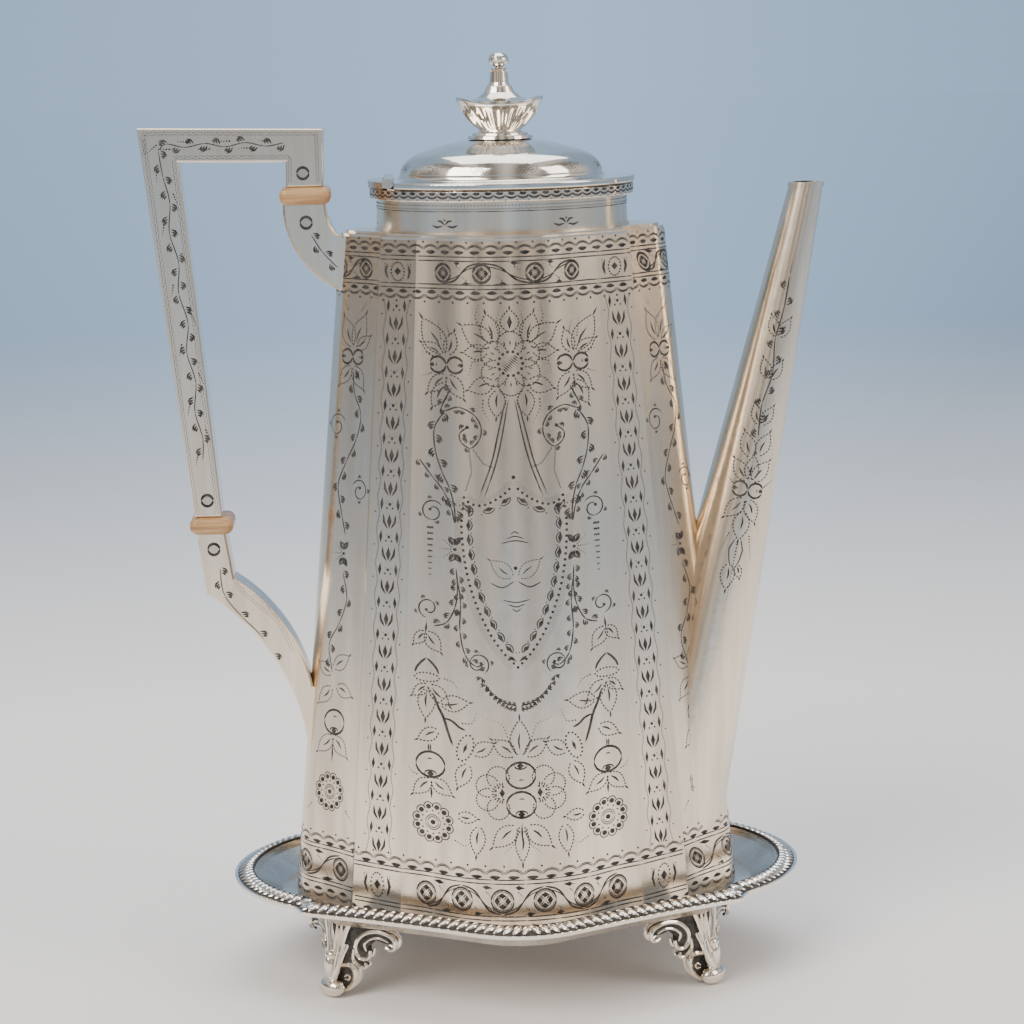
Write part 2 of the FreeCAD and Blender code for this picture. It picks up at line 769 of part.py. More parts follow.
def make_lid_dome():
    """Raised oval dome with a hollow moulding at its foot."""
    x, y = size("dome_x"), size("dome_y")
    low, top = size("flange_top_z"), size("dome_top_z")
    wall = size("dome_wall")
    foot = 1.9
    eye = 0.6    # the crown starts off the axis, inside the stud's hole

    def arch(grow):
        z0, z1 = low + foot + grow, top + grow
        return [Vector(x - 0.3 + grow, 0, z0 - grow),
                Vector((x + grow) * 0.72, 0, z0 + (z1 - z0) * 0.66),
                Vector(eye, 0, z1)]

    outer = Part.BSplineCurve()
    outer.interpolate(arch(0.0), InitialTangent=Vector(-0.25, 0, 1),
                      FinalTangent=Vector(-1, 0, 0))
    inner = Part.BSplineCurve()
    inner.interpolate(arch(-wall), InitialTangent=Vector(-0.25, 0, 1),
                      FinalTangent=Vector(-1, 0, 0))
    o0, o1 = outer.StartPoint, outer.EndPoint
    i0, i1 = inner.StartPoint, inner.EndPoint
    skirt_out = Vector(x + 1.2, 0, low)
    skirt_mid = Vector(x + 0.1, 0, low + 0.55)
    edges = [
        Part.LineSegment(Vector(i0.x, 0, low), skirt_out).toShape(),
        Part.Arc(skirt_out, skirt_mid, o0).toShape(),
        outer.toShape(),
        Part.LineSegment(o1, i1).toShape(),
        inner.toShape(),
        Part.LineSegment(i0, Vector(i0.x, 0, low)).toShape(),
    ]
    wire = Part.Wire(Part.__sortEdges__(edges))
    dome = spun(wire, x, y)
    stud = Part.makeCylinder(size("stud_radius"), 30, Vector(0, 0, low))
    return shaped("lid_dome", dome.cut(stud))


# ------------------------------------------------------------------ finial

def bored(solid):
    stud = Part.makeCylinder(size("stud_radius"), 40, Vector(0, 0, 240))
    return solid.cut(stud)


def make_finial_base():
    """Two-step oval plate that sits on the dome."""
    low = size("finial_low_z")
    profile = [(0, low), (9.9, low), (9.6, low + 0.9), (8.6, low + 1.1),
               (8.3, low + 1.7), (6.4, low + 2.2), (6.2, size("bowl_low_z")),
               (0, size("bowl_low_z"))]
    solid = squashed(profile, 9.9, 8.6)
    inside = squashed([(0, low - 3), (11, low - 3), (11, low - 0.4),
                       (0, size("dome_top_z"))], 9.9, 8.6)
    return shaped("finial_base", bored(solid.cut(inside)))


def make_finial_bowl():
    """Boat-shaped fluted bowl, hollow under its cover."""
    low, rim = size("bowl_low_z"), size("bowl_rim_z")
    long_r, wide_r = size("bowl_long"), size("bowl_wide")
    outer = [(0, low), (6.6, low), (8.6, low + 1.6), (10.8, low + 4.4),
             (12.2, low + 7.2), (long_r, rim), (12.4, rim), (11.3, low + 7.6),
             (9.8, low + 4.9), (7.4, low + 2.6), (0, low + 2.0)]
    return shaped("finial_bowl", bored(squashed(outer, long_r, wide_r)))


def make_finial_cover():
    """Hollow-curved cover of the bowl, drawn up to the stem."""
    low, rim = size("bowl_low_z"), size("bowl_rim_z")
    profile = [(0, low + 7.6), (10.9, low + 7.7), (10.0, low + 8.6),
               (6.6, rim - 0.3), (4.6, rim + 1.2), (3.6, rim + 3.2),
               (0, rim + 3.2)]
    return shaped("finial_cover", bored(squashed(profile, 13.2, 9.4)))


def turned(label, name, profile):
    """Round turned piece on the axis: half profile in X and Z, revolved."""
    body = doc.addObject("PartDesign::Body", name)
    sketch = sketch_on(body, name + "Profile", "XZ_Plane")
    closed_polygon(sketch, profile)
    turn = body.newObject("PartDesign::Revolution", name + "Turned")
    turn.Profile = sketch
    turn.ReferenceAxis = (sketch, ["V_Axis"])
    turn.Angle = 360
    doc.recompute()
    body.Tip = turn
    return on_axis(body, label)


def make_finial_stem():
    low = size("bowl_rim_z") + 3.2
    r, bore = size("stem_radius"), size("stud_radius")
    return turned("finial_stem", "FinialStem", [
        (bore, low), (r + 0.5, low), (r + 0.1, low + 1.0), (r - 0.2, low + 4.2),
        (r + 0.3, low + 4.7), (r - 0.7, low + 5.2), (bore, low + 5.2)])


def make_finial_ball():
    """Flattened ball that screws on the stud and clamps the whole finial."""
    top = size("overall_height")
    half = size("ball_half_height")
    r = size("ball_radius")
    low = top - 2 * half
    points = [(0.0, top)]
    for k in range(1, 12):
        angle = math.radians(90 - 15 * k)
        points.append((r * math.cos(angle), top - half + half * math.sin(angle)))
    points.append((0.9, low))
    points.append((0.9, low - 0.1))
    points.append((0.0, low - 0.1))
    return turned("finial_ball", "FinialBall", points)


def make_finial_stud():
    low = size("flange_top_z") + 2.6
    high = size("overall_height") - 2 * size("ball_half_height") - 0.1
    stud = doc.addObject("Part::Cylinder", "FinialStud")
    bind(stud, Radius=cell("stud_radius"))
    stud.Height = high - low
    stud.Placement = Placement(Vector(0, 0, low), Rotation())
    return on_axis(stud, "finial_stud")


def make_finial_nut():
    """Six-sided nut under the dome."""
    low = size("flange_top_z") + 3.2
    nut = doc.addObject("Part::Prism", "FinialNutBlank")
    nut.Polygon = 6
    nut.Circumradius = 4.2
    nut.Height = size("dome_top_z") - size("dome_wall") - 0.4 - low
    nut.Placement = Placement(Vector(0, 0, low), Rotation())
    nut.setExpression(".Placement.Base.x", cell("pot_axis_x"))
    hole = doc.addObject("Part::Cylinder", "FinialNutHole")
    bind(hole, Radius=cell("stud_radius"))
    hole.Height = 30
    hole.Placement = Placement(Vector(0, 0, low - 5), Rotation())
    hole.setExpression(".Placement.Base.x", cell("pot_axis_x"))
    cut = doc.addObject("Part::Cut", "FinialNut")
    cut.Base = nut
    cut.Tool = hole
    cut.Label = "finial_nut"
    PARTS.append(cut)
    return cut


# ---------------------------------------------------------------- assembly

make_stand_tray()
make_stand_rim()
make_foot("stand_foot_front_left", -1, -1)
make_foot("stand_foot_front_right", 1, -1)
make_foot("stand_foot_back_left", -1, 1)
make_foot("stand_foot_back_right", 1, 1)

make_body_shell()
make_base_plate()
make_shoulder_plate()
make_neck_collar()
make_collar_band()
make_hinge_plate()
for turn, k in enumerate((0, 2, 4), start=1):
    make_knuckle("fixed_knuckle_%d" % turn, k, -1, size("hinge_pin_radius"))
make_hinge_pin()
make_spout()
make_spout_tip_band()

make_handle_grip()
make_handle_upper_socket()
make_handle_lower_socket()
upper = make_insulator("insulator_upper", "InsulatorUpper", "insulator_long",
                       "insulator_high_x", "insulator_high_z")
lower = make_insulator("insulator_lower", "InsulatorLower",
                       "insulator_low_long", "insulator_low_x",
                       "insulator_low_z")
drill_insulator(upper, [GRIP_PINS[0], SOCKET_PINS[0]])
drill_insulator(lower, [GRIP_PINS[1], SOCKET_PINS[1]])
make_handle_pin("handle_pin_grip_upper", "PinGripUpper", *GRIP_PINS[0])
make_handle_pin("handle_pin_grip_lower", "PinGripLower", *GRIP_PINS[1])
make_handle_pin("handle_pin_socket_upper", "PinSocketUpper", *SOCKET_PINS[0])
make_handle_pin("handle_pin_socket_lower", "PinSocketLower", *SOCKET_PINS[1])

make_lid_flange()
make_lid_bezel()
make_lid_dome()
for turn, k in enumerate((1, 3), start=1):
    make_knuckle("lid_knuckle_%d" % turn, k, 1, size("hinge_pin_radius") + 0.05)
make_finial_base()
make_finial_bowl()
make_finial_cover()
make_finial_stem()
make_finial_ball()
make_finial_stud()
make_finial_nut()

doc.recompute()

broken = [o.Name for o in doc.Objects
          if "Invalid" in o.State or "Error" in o.State]
if broken:
    raise SystemExit("objects that did not rebuild: " + ", ".join(broken))

os.makedirs("parts", exist_ok=True)
for item in PARTS:
    shape = item.Shape
    if shape.isNull() or not shape.isValid() or shape.Volume <= 0:
        raise SystemExit("no sound solid: " + item.Label)
    if len(shape.Solids) != 1:
        print("NOTE", item.Label, "has", len(shape.Solids), "solids")
    shape.exportStep(os.path.join("parts", item.Label + ".step"))
    box = shape.BoundBox
    print("%-26s %9.1f mm3  x %7.2f %7.2f  y %7.2f %7.2f  z %7.2f %7.2f" % (
        item.Label, shape.Volume, box.XMin, box.XMax, box.YMin, box.YMax,
        box.ZMin, box.ZMax))
print(len(PARTS), "sub-parts")
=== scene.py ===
import math

import bpy
import numpy as np
from mathutils import Matrix, Quaternion, Vector
from mathutils.bvhtree import BVHTree


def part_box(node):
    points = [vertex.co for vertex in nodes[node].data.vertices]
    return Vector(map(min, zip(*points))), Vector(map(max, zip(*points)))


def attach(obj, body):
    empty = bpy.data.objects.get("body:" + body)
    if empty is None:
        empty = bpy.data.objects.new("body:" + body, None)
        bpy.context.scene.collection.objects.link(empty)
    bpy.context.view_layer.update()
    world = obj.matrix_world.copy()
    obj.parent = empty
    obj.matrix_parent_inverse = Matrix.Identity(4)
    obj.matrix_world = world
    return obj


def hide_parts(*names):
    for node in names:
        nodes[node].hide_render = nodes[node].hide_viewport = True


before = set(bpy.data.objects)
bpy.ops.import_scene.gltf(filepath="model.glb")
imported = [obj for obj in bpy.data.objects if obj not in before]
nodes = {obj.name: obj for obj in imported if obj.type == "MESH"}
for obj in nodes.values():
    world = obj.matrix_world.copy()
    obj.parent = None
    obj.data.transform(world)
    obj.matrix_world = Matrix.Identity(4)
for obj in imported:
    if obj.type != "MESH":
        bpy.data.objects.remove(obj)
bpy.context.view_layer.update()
MM = 0.001


# ---------------------------------------------------------------- the room
# A pale table top that fades to a cool blue far away, one big soft light over the left
# shoulder, a weaker one on the right, and a warm wall behind whoever looks at the pot.

pot_low, pot_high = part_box("body_shell")
AXIS = Vector((0.5 * (pot_low.x + pot_high.x), 0, 0))


class Wire:
    """A socket that can be used in sums: wire * 2, 1 - wire, wire + other."""

    def __init__(self, recipe, socket):
        self.recipe = recipe
        self.socket = socket

    def sum(self, operation, first, second=0.0):
        return self.recipe.node("ShaderNodeMath", {"operation": operation}, {0: first, 1: second})

    def __add__(self, other):
        return self.sum("ADD", self, other)

    def __radd__(self, other):
        return self.sum("ADD", other, self)

    def __sub__(self, other):
        return self.sum("SUBTRACT", self, other)

    def __rsub__(self, other):
        return self.sum("SUBTRACT", other, self)

    def __mul__(self, other):
        return self.sum("MULTIPLY", self, other)

    def __rmul__(self, other):
        return self.sum("MULTIPLY", other, self)

    def __truediv__(self, other):
        return self.sum("DIVIDE", self, other)

    def ramp(self, *stops):
        """A soft change from one number or colour to the next, given as (place, value)."""
        return self.recipe.node("ShaderNodeValToRGB", {"stops": stops}, {0: self})

    def span(self, low, high, new_low, new_high):
        return self.recipe.node("ShaderNodeMapRange", {"clamp": True},
                                {0: self, 1: low, 2: high, 3: new_low, 4: new_high})


class Recipe:
    """One node tree, for a finish or for the room."""

    def __init__(self, name, world=False):
        self.owner = (bpy.data.worlds if world else bpy.data.materials).new(name)
        self.owner.use_nodes = True
        self.tree = self.owner.node_tree
        kind = "Background" if world else "Principled BSDF"
        self.shader = self.tree.nodes[kind]

    def node(self, kind, settings=None, sockets=None, out=0):
        made = self.tree.nodes.new(kind)
        for key, value in (settings or {}).items():
            if key == "stops":
                self.fill_ramp(made.color_ramp, value)
            else:
                setattr(made, key, value)
        for key, value in (sockets or {}).items():
            self.feed(made.inputs[key], value)
        return Wire(self, made.outputs[out])

    def fill_ramp(self, ramp, stops):
        while len(ramp.elements) < len(stops):
            ramp.elements.new(0.5)
        for element, (place, value) in zip(ramp.elements, stops):
            element.position = place
            element.color = (*value, 1) if isinstance(value, tuple) else (value,) * 3 + (1,)

    def feed(self, socket, value):
        if isinstance(value, Wire):
            self.tree.links.new(value.socket, socket)
        else:
            socket.default_value = value

    def set(self, **values):
        for key, value in values.items():
            self.feed(self.shader.inputs[key.replace("_", " ")], value)

    def place(self, scale=(1, 1, 1), shift=(0, 0, 0)):
        """Object coordinates, stretched and shifted."""
        spot = self.node("ShaderNodeTexCoord", out="Object")
        return self.node("ShaderNodeMapping", None, {0: spot, 1: shift, 3: scale})

    def noise(self, scale, size=1.0, detail=3.0, rough=0.5, shift=(0, 0, 0)):
        return self.node("ShaderNodeTexNoise", None,
                         {"Vector": self.place(scale, shift), "Scale": size, "Detail": detail,
                          "Roughness": rough}, out=0)

    def mix(self, factor, first, second):
        """Colours through a Mix node."""
        made = self.tree.nodes.new("ShaderNodeMix")
        made.data_type = "RGBA"
        colours = [s for s in made.inputs if s.type == "RGBA"]
        self.feed(made.inputs[0], factor)
        self.feed(colours[0], first if isinstance(first, Wire) else (*first, 1))
        self.feed(colours[1], second if isinstance(second, Wire) else (*second, 1))
        return Wire(self, [s for s in made.outputs if s.type == "RGBA"][0])

    def bump(self, height, depth, strength=1.0):
        bump = self.node("ShaderNodeBump", None, {"Height": height, "Distance": depth, "Strength": strength})
        self.set(Normal=bump)


def clear_selection():
    if bpy.context.object and bpy.context.object.mode != "OBJECT":
        bpy.ops.object.mode_set(mode="OBJECT")
    bpy.ops.object.select_all(action="DESELECT")


HORIZON = ((0.0, (0.37, 0.52, 0.72)), (0.35, (0.46, 0.66, 0.92)), (0.6, (0.52, 0.76, 1.08)),
           (1.0, (0.35, 0.50, 0.70)))


def build_floor():
    """A sweep of paper: pale near the pot, bluer and glowing softly where it meets the wall."""
    clear_selection()
    bpy.ops.mesh.primitive_circle_add(vertices=96, radius=9.0, fill_type="TRIFAN",
                                      location=(AXIS.x, 0, -0.0002))
    floor = bpy.context.object
    floor.name = "floor"
    paper = Recipe("pale paper")
    spot = paper.place()
    away = paper.node("ShaderNodeVectorMath", {"operation": "LENGTH"}, {0: spot}, out="Value")
    split = paper.node("ShaderNodeSeparateXYZ", None, {0: spot}, out="X")
    side = paper.node("ShaderNodeMath", {"operation": "DIVIDE"}, {0: split, 1: away})
    wall = side.span(-0.3, 0.3, 0.0, 1.0).ramp(*HORIZON)
    nearness = paper.node("ShaderNodeMath", {"operation": "DIVIDE"}, {0: 1.0, 1: away + 0.87})
    far = nearness.span(0.36, 0.80, 1.0, 0.0)
    paper.set(Base_Color=paper.mix(far, (0.95, 0.905, 0.86), (0.0, 0.0, 0.0)))
    paper.set(Emission_Color=paper.mix(far, (0.0, 0.0, 0.0), wall))
    paper.set(Roughness=0.9, Specular_IOR_Level=0.0, Emission_Strength=0.9)
    floor.data.materials.append(paper.owner)


def build_room_light():
    """The wall beyond is one soft tone; the near half of the room has dark and light uprights."""
    room = Recipe("soft room", world=True)
    facing = room.node("ShaderNodeTexCoord", out="Generated")
    parts = facing.recipe.node("ShaderNodeSeparateXYZ", None, {0: facing})
    across = Wire(room, parts.socket.node.outputs[0])
    toward = Wire(room, parts.socket.node.outputs[1])
    up = Wire(room, parts.socket.node.outputs[2])
    wall = across.span(-0.3, 0.3, 0.0, 1.0).ramp(*HORIZON)
    near = room.mix(up.span(-0.2, 0.7, 0.0, 1.0), (0.80, 0.70, 0.60), (0.88, 0.86, 0.84))
    behind = toward.span(0.1, 0.45, 0.0, 1.0)
    bars = room.node("ShaderNodeMath", {"operation": "SINE"}, {0: across * 15.0 + 0.6})
    shade = bars.span(-1.0, 1.0, 0.22, 1.0)
    colour = room.mix(behind, room.mix(shade, (0.10, 0.09, 0.085), near), wall)
    room.set(Color=colour, Strength=0.9)
    bpy.context.scene.world = room.owner


def add_softbox(name, place, size, power, tint):
    clear_selection()
    bpy.ops.object.light_add(type="AREA", location=place)
    lamp = bpy.context.object
    lamp.name = name
    lamp.data.shape = "RECTANGLE"
    lamp.data.size = size[0]
    lamp.data.size_y = size[1]
    lamp.data.energy = power
    lamp.data.color = tint
    aim = Vector((AXIS.x, 0, 0.14)) - Vector(place)
    lamp.rotation_euler = aim.to_track_quat("-Z", "Y").to_euler()


def place_camera():
    """Just above the lid's height, a little to the left of square on, leaning a hair."""
    distance, pitch, turn, lean = 0.8768, math.radians(9.85), math.radians(1.95), math.radians(-1.284)
    target = Vector((AXIS.x, 0, 0.1405))
    away = Vector((-math.sin(turn) * math.cos(pitch), -math.cos(turn) * math.cos(pitch), math.sin(pitch)))
    clear_selection()
    bpy.ops.object.camera_add(location=target + distance * away)
    camera = bpy.context.object
    aim = (-away).to_track_quat("-Z", "Y")
    camera.rotation_euler = (aim @ Quaternion((0, 0, 1), lean)).to_euler()
    camera.data.lens = 100.4
    camera.data.sensor_width = 36.0
    camera.data.shift_x = 0.0033
    bpy.context.scene.camera = camera


build_floor()
build_room_light()
add_softbox("left softbox", (-1.3, -1.5, 1.7), (1.5, 1.5), 50, (1.0, 0.97, 0.93))
add_softbox("right softbox", (1.7, -0.9, 1.2), (0.9, 1.4), 16, (1.0, 0.97, 0.95))
add_softbox("top softbox", (0.1, 0.5, 2.2), (1.8, 1.8), 30, (0.95, 0.97, 1.0))
place_camera()


# ---------------------------------------------------------------- silver
# Raised and seamed sheet silver, worked by hand and rubbed bright for two hundred years:
# warm grey, softly streaked up and down, duller in the low places. Soldered and pinned.


def make_silver(name, colour, dull, polish, streak):
    """dull is the tarnished tone, polish the mean roughness, streak how much it varies."""
    silver = Recipe(name)
    reeds = silver.noise((150, 150, 5), detail=4.0, rough=0.6)
    cloud = silver.noise((26, 26, 9), detail=3.0, shift=(0.3, 0.1, 0.7))
    rubbed = silver.noise((900, 900, 900), detail=2.0)
    worn = reeds.span(0.35, 0.68, 0.0, 1.0) * 0.6 + cloud.span(0.35, 0.7, 0.0, 1.0) * 0.4
    silver.set(Base_Color=silver.mix(worn * streak, colour, dull), Metallic=1.0)
    silver.set(Roughness=worn * 0.13 * streak + rubbed * 0.05 + (polish - 0.04))
    silver.bump(reeds * 0.7 + rubbed * 0.3, 0.00006, 0.22)
    return silver.owner


def dress(names, finish):
    for name in names:
        mesh = nodes[name].data
        mesh.materials.clear()
        mesh.materials.append(finish)


worked_silver = make_silver("worked silver", (0.985, 0.85, 0.68), (0.68, 0.56, 0.43), 0.17, 1.0)
bright_silver = make_silver("burnished silver", (0.92, 0.85, 0.75), (0.64, 0.555, 0.46), 0.09, 0.6)
soft_silver = make_silver("dull silver", (0.74, 0.68, 0.61), (0.46, 0.41, 0.36), 0.22, 1.0)

BODY_PARTS = ("body_shell", "spout", "handle_grip", "handle_upper_socket", "handle_lower_socket",
              "shoulder_plate", "neck_collar", "collar_band", "spout_tip_band")
POLISHED_PARTS = ("lid_flange", "lid_bezel", "lid_dome", "finial_base", "finial_bowl", "finial_cover",
                  "finial_stem", "finial_ball", "finial_stud", "finial_nut", "stand_rim",
                  "stand_foot_front_left", "stand_foot_front_right", "stand_foot_back_left",
                  "stand_foot_back_right")
DULL_PARTS = ("stand_tray", "base_plate", "hinge_plate", "fixed_knuckle_1", "fixed_knuckle_2",
              "fixed_knuckle_3", "lid_knuckle_1", "lid_knuckle_2", "hinge_pin",
              "handle_pin_grip_upper", "handle_pin_grip_lower", "handle_pin_socket_upper",
              "handle_pin_socket_lower")
dress(BODY_PARTS, worked_silver)
dress(POLISHED_PARTS, bright_silver)
dress(DULL_PARTS, soft_silver)


# ---------------------------------------------------------------- ivory
# Two tan discs cut across the tusk, that keep the hot sockets from the grip. Their grain
# runs sideways in fine brown lines. Each is held by a pin above and a pin below.


def make_ivory():
    tusk = Recipe("old ivory")
    wave = tusk.noise((30, 30, 40), detail=2.0)
    grain = tusk.noise((45, 260, 900), detail=4.0, rough=0.65)
    lines = grain.span(0.42, 0.66, 0.0, 1.0) * 0.75 + wave * 0.25
    tusk.set(Base_Color=lines.ramp((0.0, (0.58, 0.36, 0.16)), (0.45, (0.42, 0.22, 0.085)),
                                   (1.0, (0.22, 0.12, 0.06))))
    tusk.set(Roughness=0.30 + grain * 0.25, Subsurface_Weight=0.15, Coat_Weight=0.25)
    tusk.shader.inputs["Subsurface Radius"].default_value = (0.004, 0.0025, 0.0015)
    tusk.bump(grain, 0.0001, 0.35)
    return tusk.owner


dress(("insulator_upper", "insulator_lower"), make_ivory())

# ---------------------------------------------------------------- engraving, the tools
# Every line is pushed into the finished silver with a graver: pointed cuts that swell in the
# middle, and round pricks. They are never polished out, so they have gone nearly black.


def mesh_of(obj):
    """Corner places and triangles of a modelled piece, which is then put away."""
    bpy.ops.object.mode_set(mode="EDIT")
    bpy.ops.mesh.select_all(action="SELECT")
    bpy.ops.mesh.quads_convert_to_tris()
    bpy.ops.object.mode_set(mode="OBJECT")
    corners = np.array([v.co for v in obj.data.vertices])
    faces = np.array([list(p.vertices) for p in obj.data.polygons])
    bpy.data.objects.remove(obj)
    return corners, faces


def select_where(obj, test):
    """Selects the vertices of a mesh in edit mode whose place passes the test."""
    bpy.ops.object.mode_set(mode="OBJECT")
    for part in (obj.data.vertices, obj.data.edges, obj.data.polygons):
        part.foreach_set("select", [False] * len(part))
    for vertex in obj.data.vertices:
        vertex.select = test(vertex.co)
    bpy.ops.object.mode_set(mode="EDIT")


def model_sliver(rings):
    """A four-sided sliver from 0 to 1 along X, pointed at both ends."""
    clear_selection()
    bpy.ops.mesh.primitive_cylinder_add(vertices=4, radius=1, depth=1, location=(0.5, 0, 0),
                                        rotation=(0, math.pi / 2, 0))
    sliver = bpy.context.object
    bpy.ops.object.transform_apply()
    bpy.ops.object.mode_set(mode="EDIT")
    bpy.ops.mesh.select_mode(type="VERT")
    for ring in range(rings):
        bpy.ops.mesh.select_all(action="SELECT")
        bpy.ops.mesh.bisect(plane_co=((ring + 1) / (rings + 1), 0, 0), plane_no=(1, 0, 0))
    for end in (0.0, 1.0):
        select_where(sliver, lambda co: abs(co.x - end) < 0.001)
        bpy.ops.mesh.merge(type="CENTER")
    return mesh_of(sliver)


def model_prick():
    """A round pit one across each way, with a shallow sloping side."""
    clear_selection()
    bpy.ops.mesh.primitive_cone_add(vertices=8, radius1=1, radius2=0.7, depth=2)
    pit = bpy.context.object
    bpy.ops.object.mode_set(mode="EDIT")
    bpy.ops.mesh.select_mode(type="VERT")
    select_where(pit, lambda co: co.z < 0)
    bpy.ops.mesh.merge(type="CENTER")
    return mesh_of(pit)


SLIVERS = {2: model_sliver(1), 3: model_sliver(3), 4: model_sliver(9)}
PRICK = model_prick()
CUT_RISE = 0.07      # the lip of a cut stands this far above the silver, in millimetres
CUT_WEIGHT = 1.75    # how heavily the graver was leant on
PRICK_WEIGHT = 1.32


def along(points, gap):
    """Places an even distance apart on a line of points."""
    points = np.array(points, complex)
    steps = np.abs(np.diff(points))
    run = np.concatenate(([0], np.cumsum(steps)))
    count = max(1, int(round(run[-1] / gap)))
    at = np.linspace(0, run[-1], count + 1)
    return list(np.interp(at, run, points.real) + 1j * np.interp(at, run, points.imag))


def sway(points, steps=8):
    """A smooth line through a few points."""
    p = [complex(q) for q in points]
    p = [2 * p[0] - p[1]] + p + [2 * p[-1] - p[-2]]
    line = []
    for a, b, c, d in zip(p, p[1:], p[2:], p[3:]):
        for t in np.arange(steps) / steps:
            line.append(0.5 * (2 * b + (c - a) * t + (2 * a - 5 * b + 4 * c - d) * t * t
                               + (3 * b - a - 3 * c + d) * t ** 3))
    return line + [p[-2]]


def turn(degrees, length=1.0):
    return length * complex(math.cos(math.radians(degrees)), math.sin(math.radians(degrees)))


def arc(centre, radius, start, end, flat=1.0, steps=12):
    """Part of a circle or of an oval: flat is height over width."""
    angles = np.linspace(start, end, steps + 1)
    return [centre + radius * complex(math.cos(math.radians(a)), flat * math.sin(math.radians(a)))
            for a in angles]


class Drawing:
    """A flat pattern in millimetres, across and up, as cuts and pricks."""

    def __init__(self):
        self.cuts = []
        self.pricks = []

    def cut(self, points, width=0.3):
        self.cuts.append((list(points), width * CUT_WEIGHT))

    def nick(self, start, end, width=0.4, bow=0.0):
        if bow:
            self.cut([start, (start + end) / 2 + 1j * bow * (end - start), end], width)
        else:
            self.cut([start, end], width)

    def prick(self, at, radius=0.3):
        self.pricks.append((at, radius * PRICK_WEIGHT))

    def row(self, points, gap=0.85, radius=0.2):
        for at in along(points, gap):
            self.prick(at, radius)

    def fade(self, points, gap=0.9, radius=0.3):
        """A row of pricks that get smaller."""
        places = along(points, gap)
        for k, at in enumerate(places):
            self.prick(at, radius * (1 - 0.6 * k / len(places)))

    def ring(self, centre, radius, width=0.22, flat=1.0):
        for start in (0, 180):
            self.cut(arc(centre, radius, start - 6, start + 186, flat), width)

    def stipple(self, points, wide, gap=0.62, radius=0.11):
        """A band of the finest pricks on both sides of a line."""
        places = along(points, gap)
        for k, (a, b) in enumerate(zip(places, places[1:])):
            side = 1j * (b - a) / abs(b - a)
            for lane in np.linspace(-wide / 2, wide / 2, max(2, int(wide / 0.45) + 1)):
                at = a + side * lane + (b - a) * 0.5 * (int(lane * 100) % 2)
                self.cut([at - radius, at + radius], 2 * radius)

    def wiggle(self, points, width=0.2, deep=0.45, gap=0.75):
        """A line that shakes from side to side."""
        places = along(points, gap)
        shaken = [p + 1j * deep * (1 if k % 2 else -1) * (q - p) / abs(q - p)
                  for k, (p, q) in enumerate(zip(places, places[1:]))]
        for a, b in zip(shaken, shaken[1:]):
            self.cut([a, b], width)

    def mirrored(self, first_cut=0, first_prick=0):
        """Repeats what was drawn since, on the other side of the middle."""
        self.cuts += [([-p.conjugate() for p in points], w) for points, w in self.cuts[first_cut:]]
        self.pricks += [(-p.conjugate(), r) for p, r in self.pricks[first_prick:]]

    def moved(self, shift=0, times=1, flip=False):
        """A copy, turned and scaled by times, then shifted."""
        copy = Drawing()
        face = (lambda p: shift + times * (-p.conjugate())) if flip else (lambda p: shift + times * p)
        copy.cuts = [([face(complex(p)) for p in points], w * abs(times)) for points, w in self.cuts]
        copy.pricks = [(face(complex(p)), r * abs(times)) for p, r in self.pricks]
        return copy

    def add(self, other):
        self.cuts += other.cuts
        self.pricks += other.pricks


def facing(degrees):
    """Looks square on at one side of the pot: 0 is the spout's side, -90 the front."""
    out = Vector((math.cos(math.radians(degrees)), math.sin(math.radians(degrees)), 0))
    across = Vector((-out.y, out.x, 0))

    def aim(x, z):
        return AXIS + out * 0.3 + across * (x * MM) + Vector((0, 0, z * MM)), -out
    return aim


def surface(*names):
    corners, faces = [], []
    for name in names:
        start = len(corners)
        corners += [v.co.copy() for v in nodes[name].data.vertices]
        faces += [[start + k for k in p.vertices] for p in nodes[name].data.polygons]
    return BVHTree.FromPolygons(corners, faces)


def around(tree, level, middle=-90.0, taper=None):
    """Walks round the pot: across is the distance along the wall from the middle angle."""
    angles = np.arange(0, 361, 0.5)
    places = []
    for angle in angles:
        out = Vector((math.cos(math.radians(angle)), math.sin(math.radians(angle)), 0))
        hit = tree.ray_cast(AXIS + out * 0.3 + Vector((0, 0, level * MM)), -out)[0]
        places.append(hit if hit else AXIS)
    steps = [(b - a).length / MM for a, b in zip(places, places[1:])]
    run = np.concatenate(([0], np.cumsum(steps)))
    start = np.interp(middle % 360, angles, run)

    def aim(x, z):
        grown = taper(z) / taper(level) if taper else 1.0
        angle = math.radians(np.interp((start + x / grown) % run[-1], run, angles))
        out = Vector((math.cos(angle), math.sin(angle), 0))
        return AXIS + out * 0.3 + Vector((0, 0, z * MM)), -out
    aim.length = run[-1]
    aim.where = lambda degrees: float(np.interp(degrees % 360, angles, run) - start)
    return aim


def sliver_places(corners, points, width):
    """Lays a sliver along a line: flat places, and how far each stands out."""
    points = np.array(points, complex)
    run = np.concatenate(([0], np.cumsum(np.abs(np.diff(points)))))
    at = corners[:, 0] * run[-1]
    ahead = np.minimum(at + run[-1] * 0.02, run[-1])
    behind = np.maximum(at - run[-1] * 0.02, 0)
    spot = np.interp(at, run, points.real) + 1j * np.interp(at, run, points.imag)
    way = (np.interp(ahead, run, points.real) - np.interp(behind, run, points.real)
           + 1j * (np.interp(ahead, run, points.imag) - np.interp(behind, run, points.imag)))
    way = way / np.maximum(np.abs(way), 1e-9)
    share = np.clip(corners[:, 0], 0, 1)
    swell = np.clip(np.sin(np.pi * share), 0, 1) ** (0.8 if len(points) <= 3 else 0.25)
    return spot + 1j * way * corners[:, 1] * width / 2 * swell, corners[:, 2] * swell


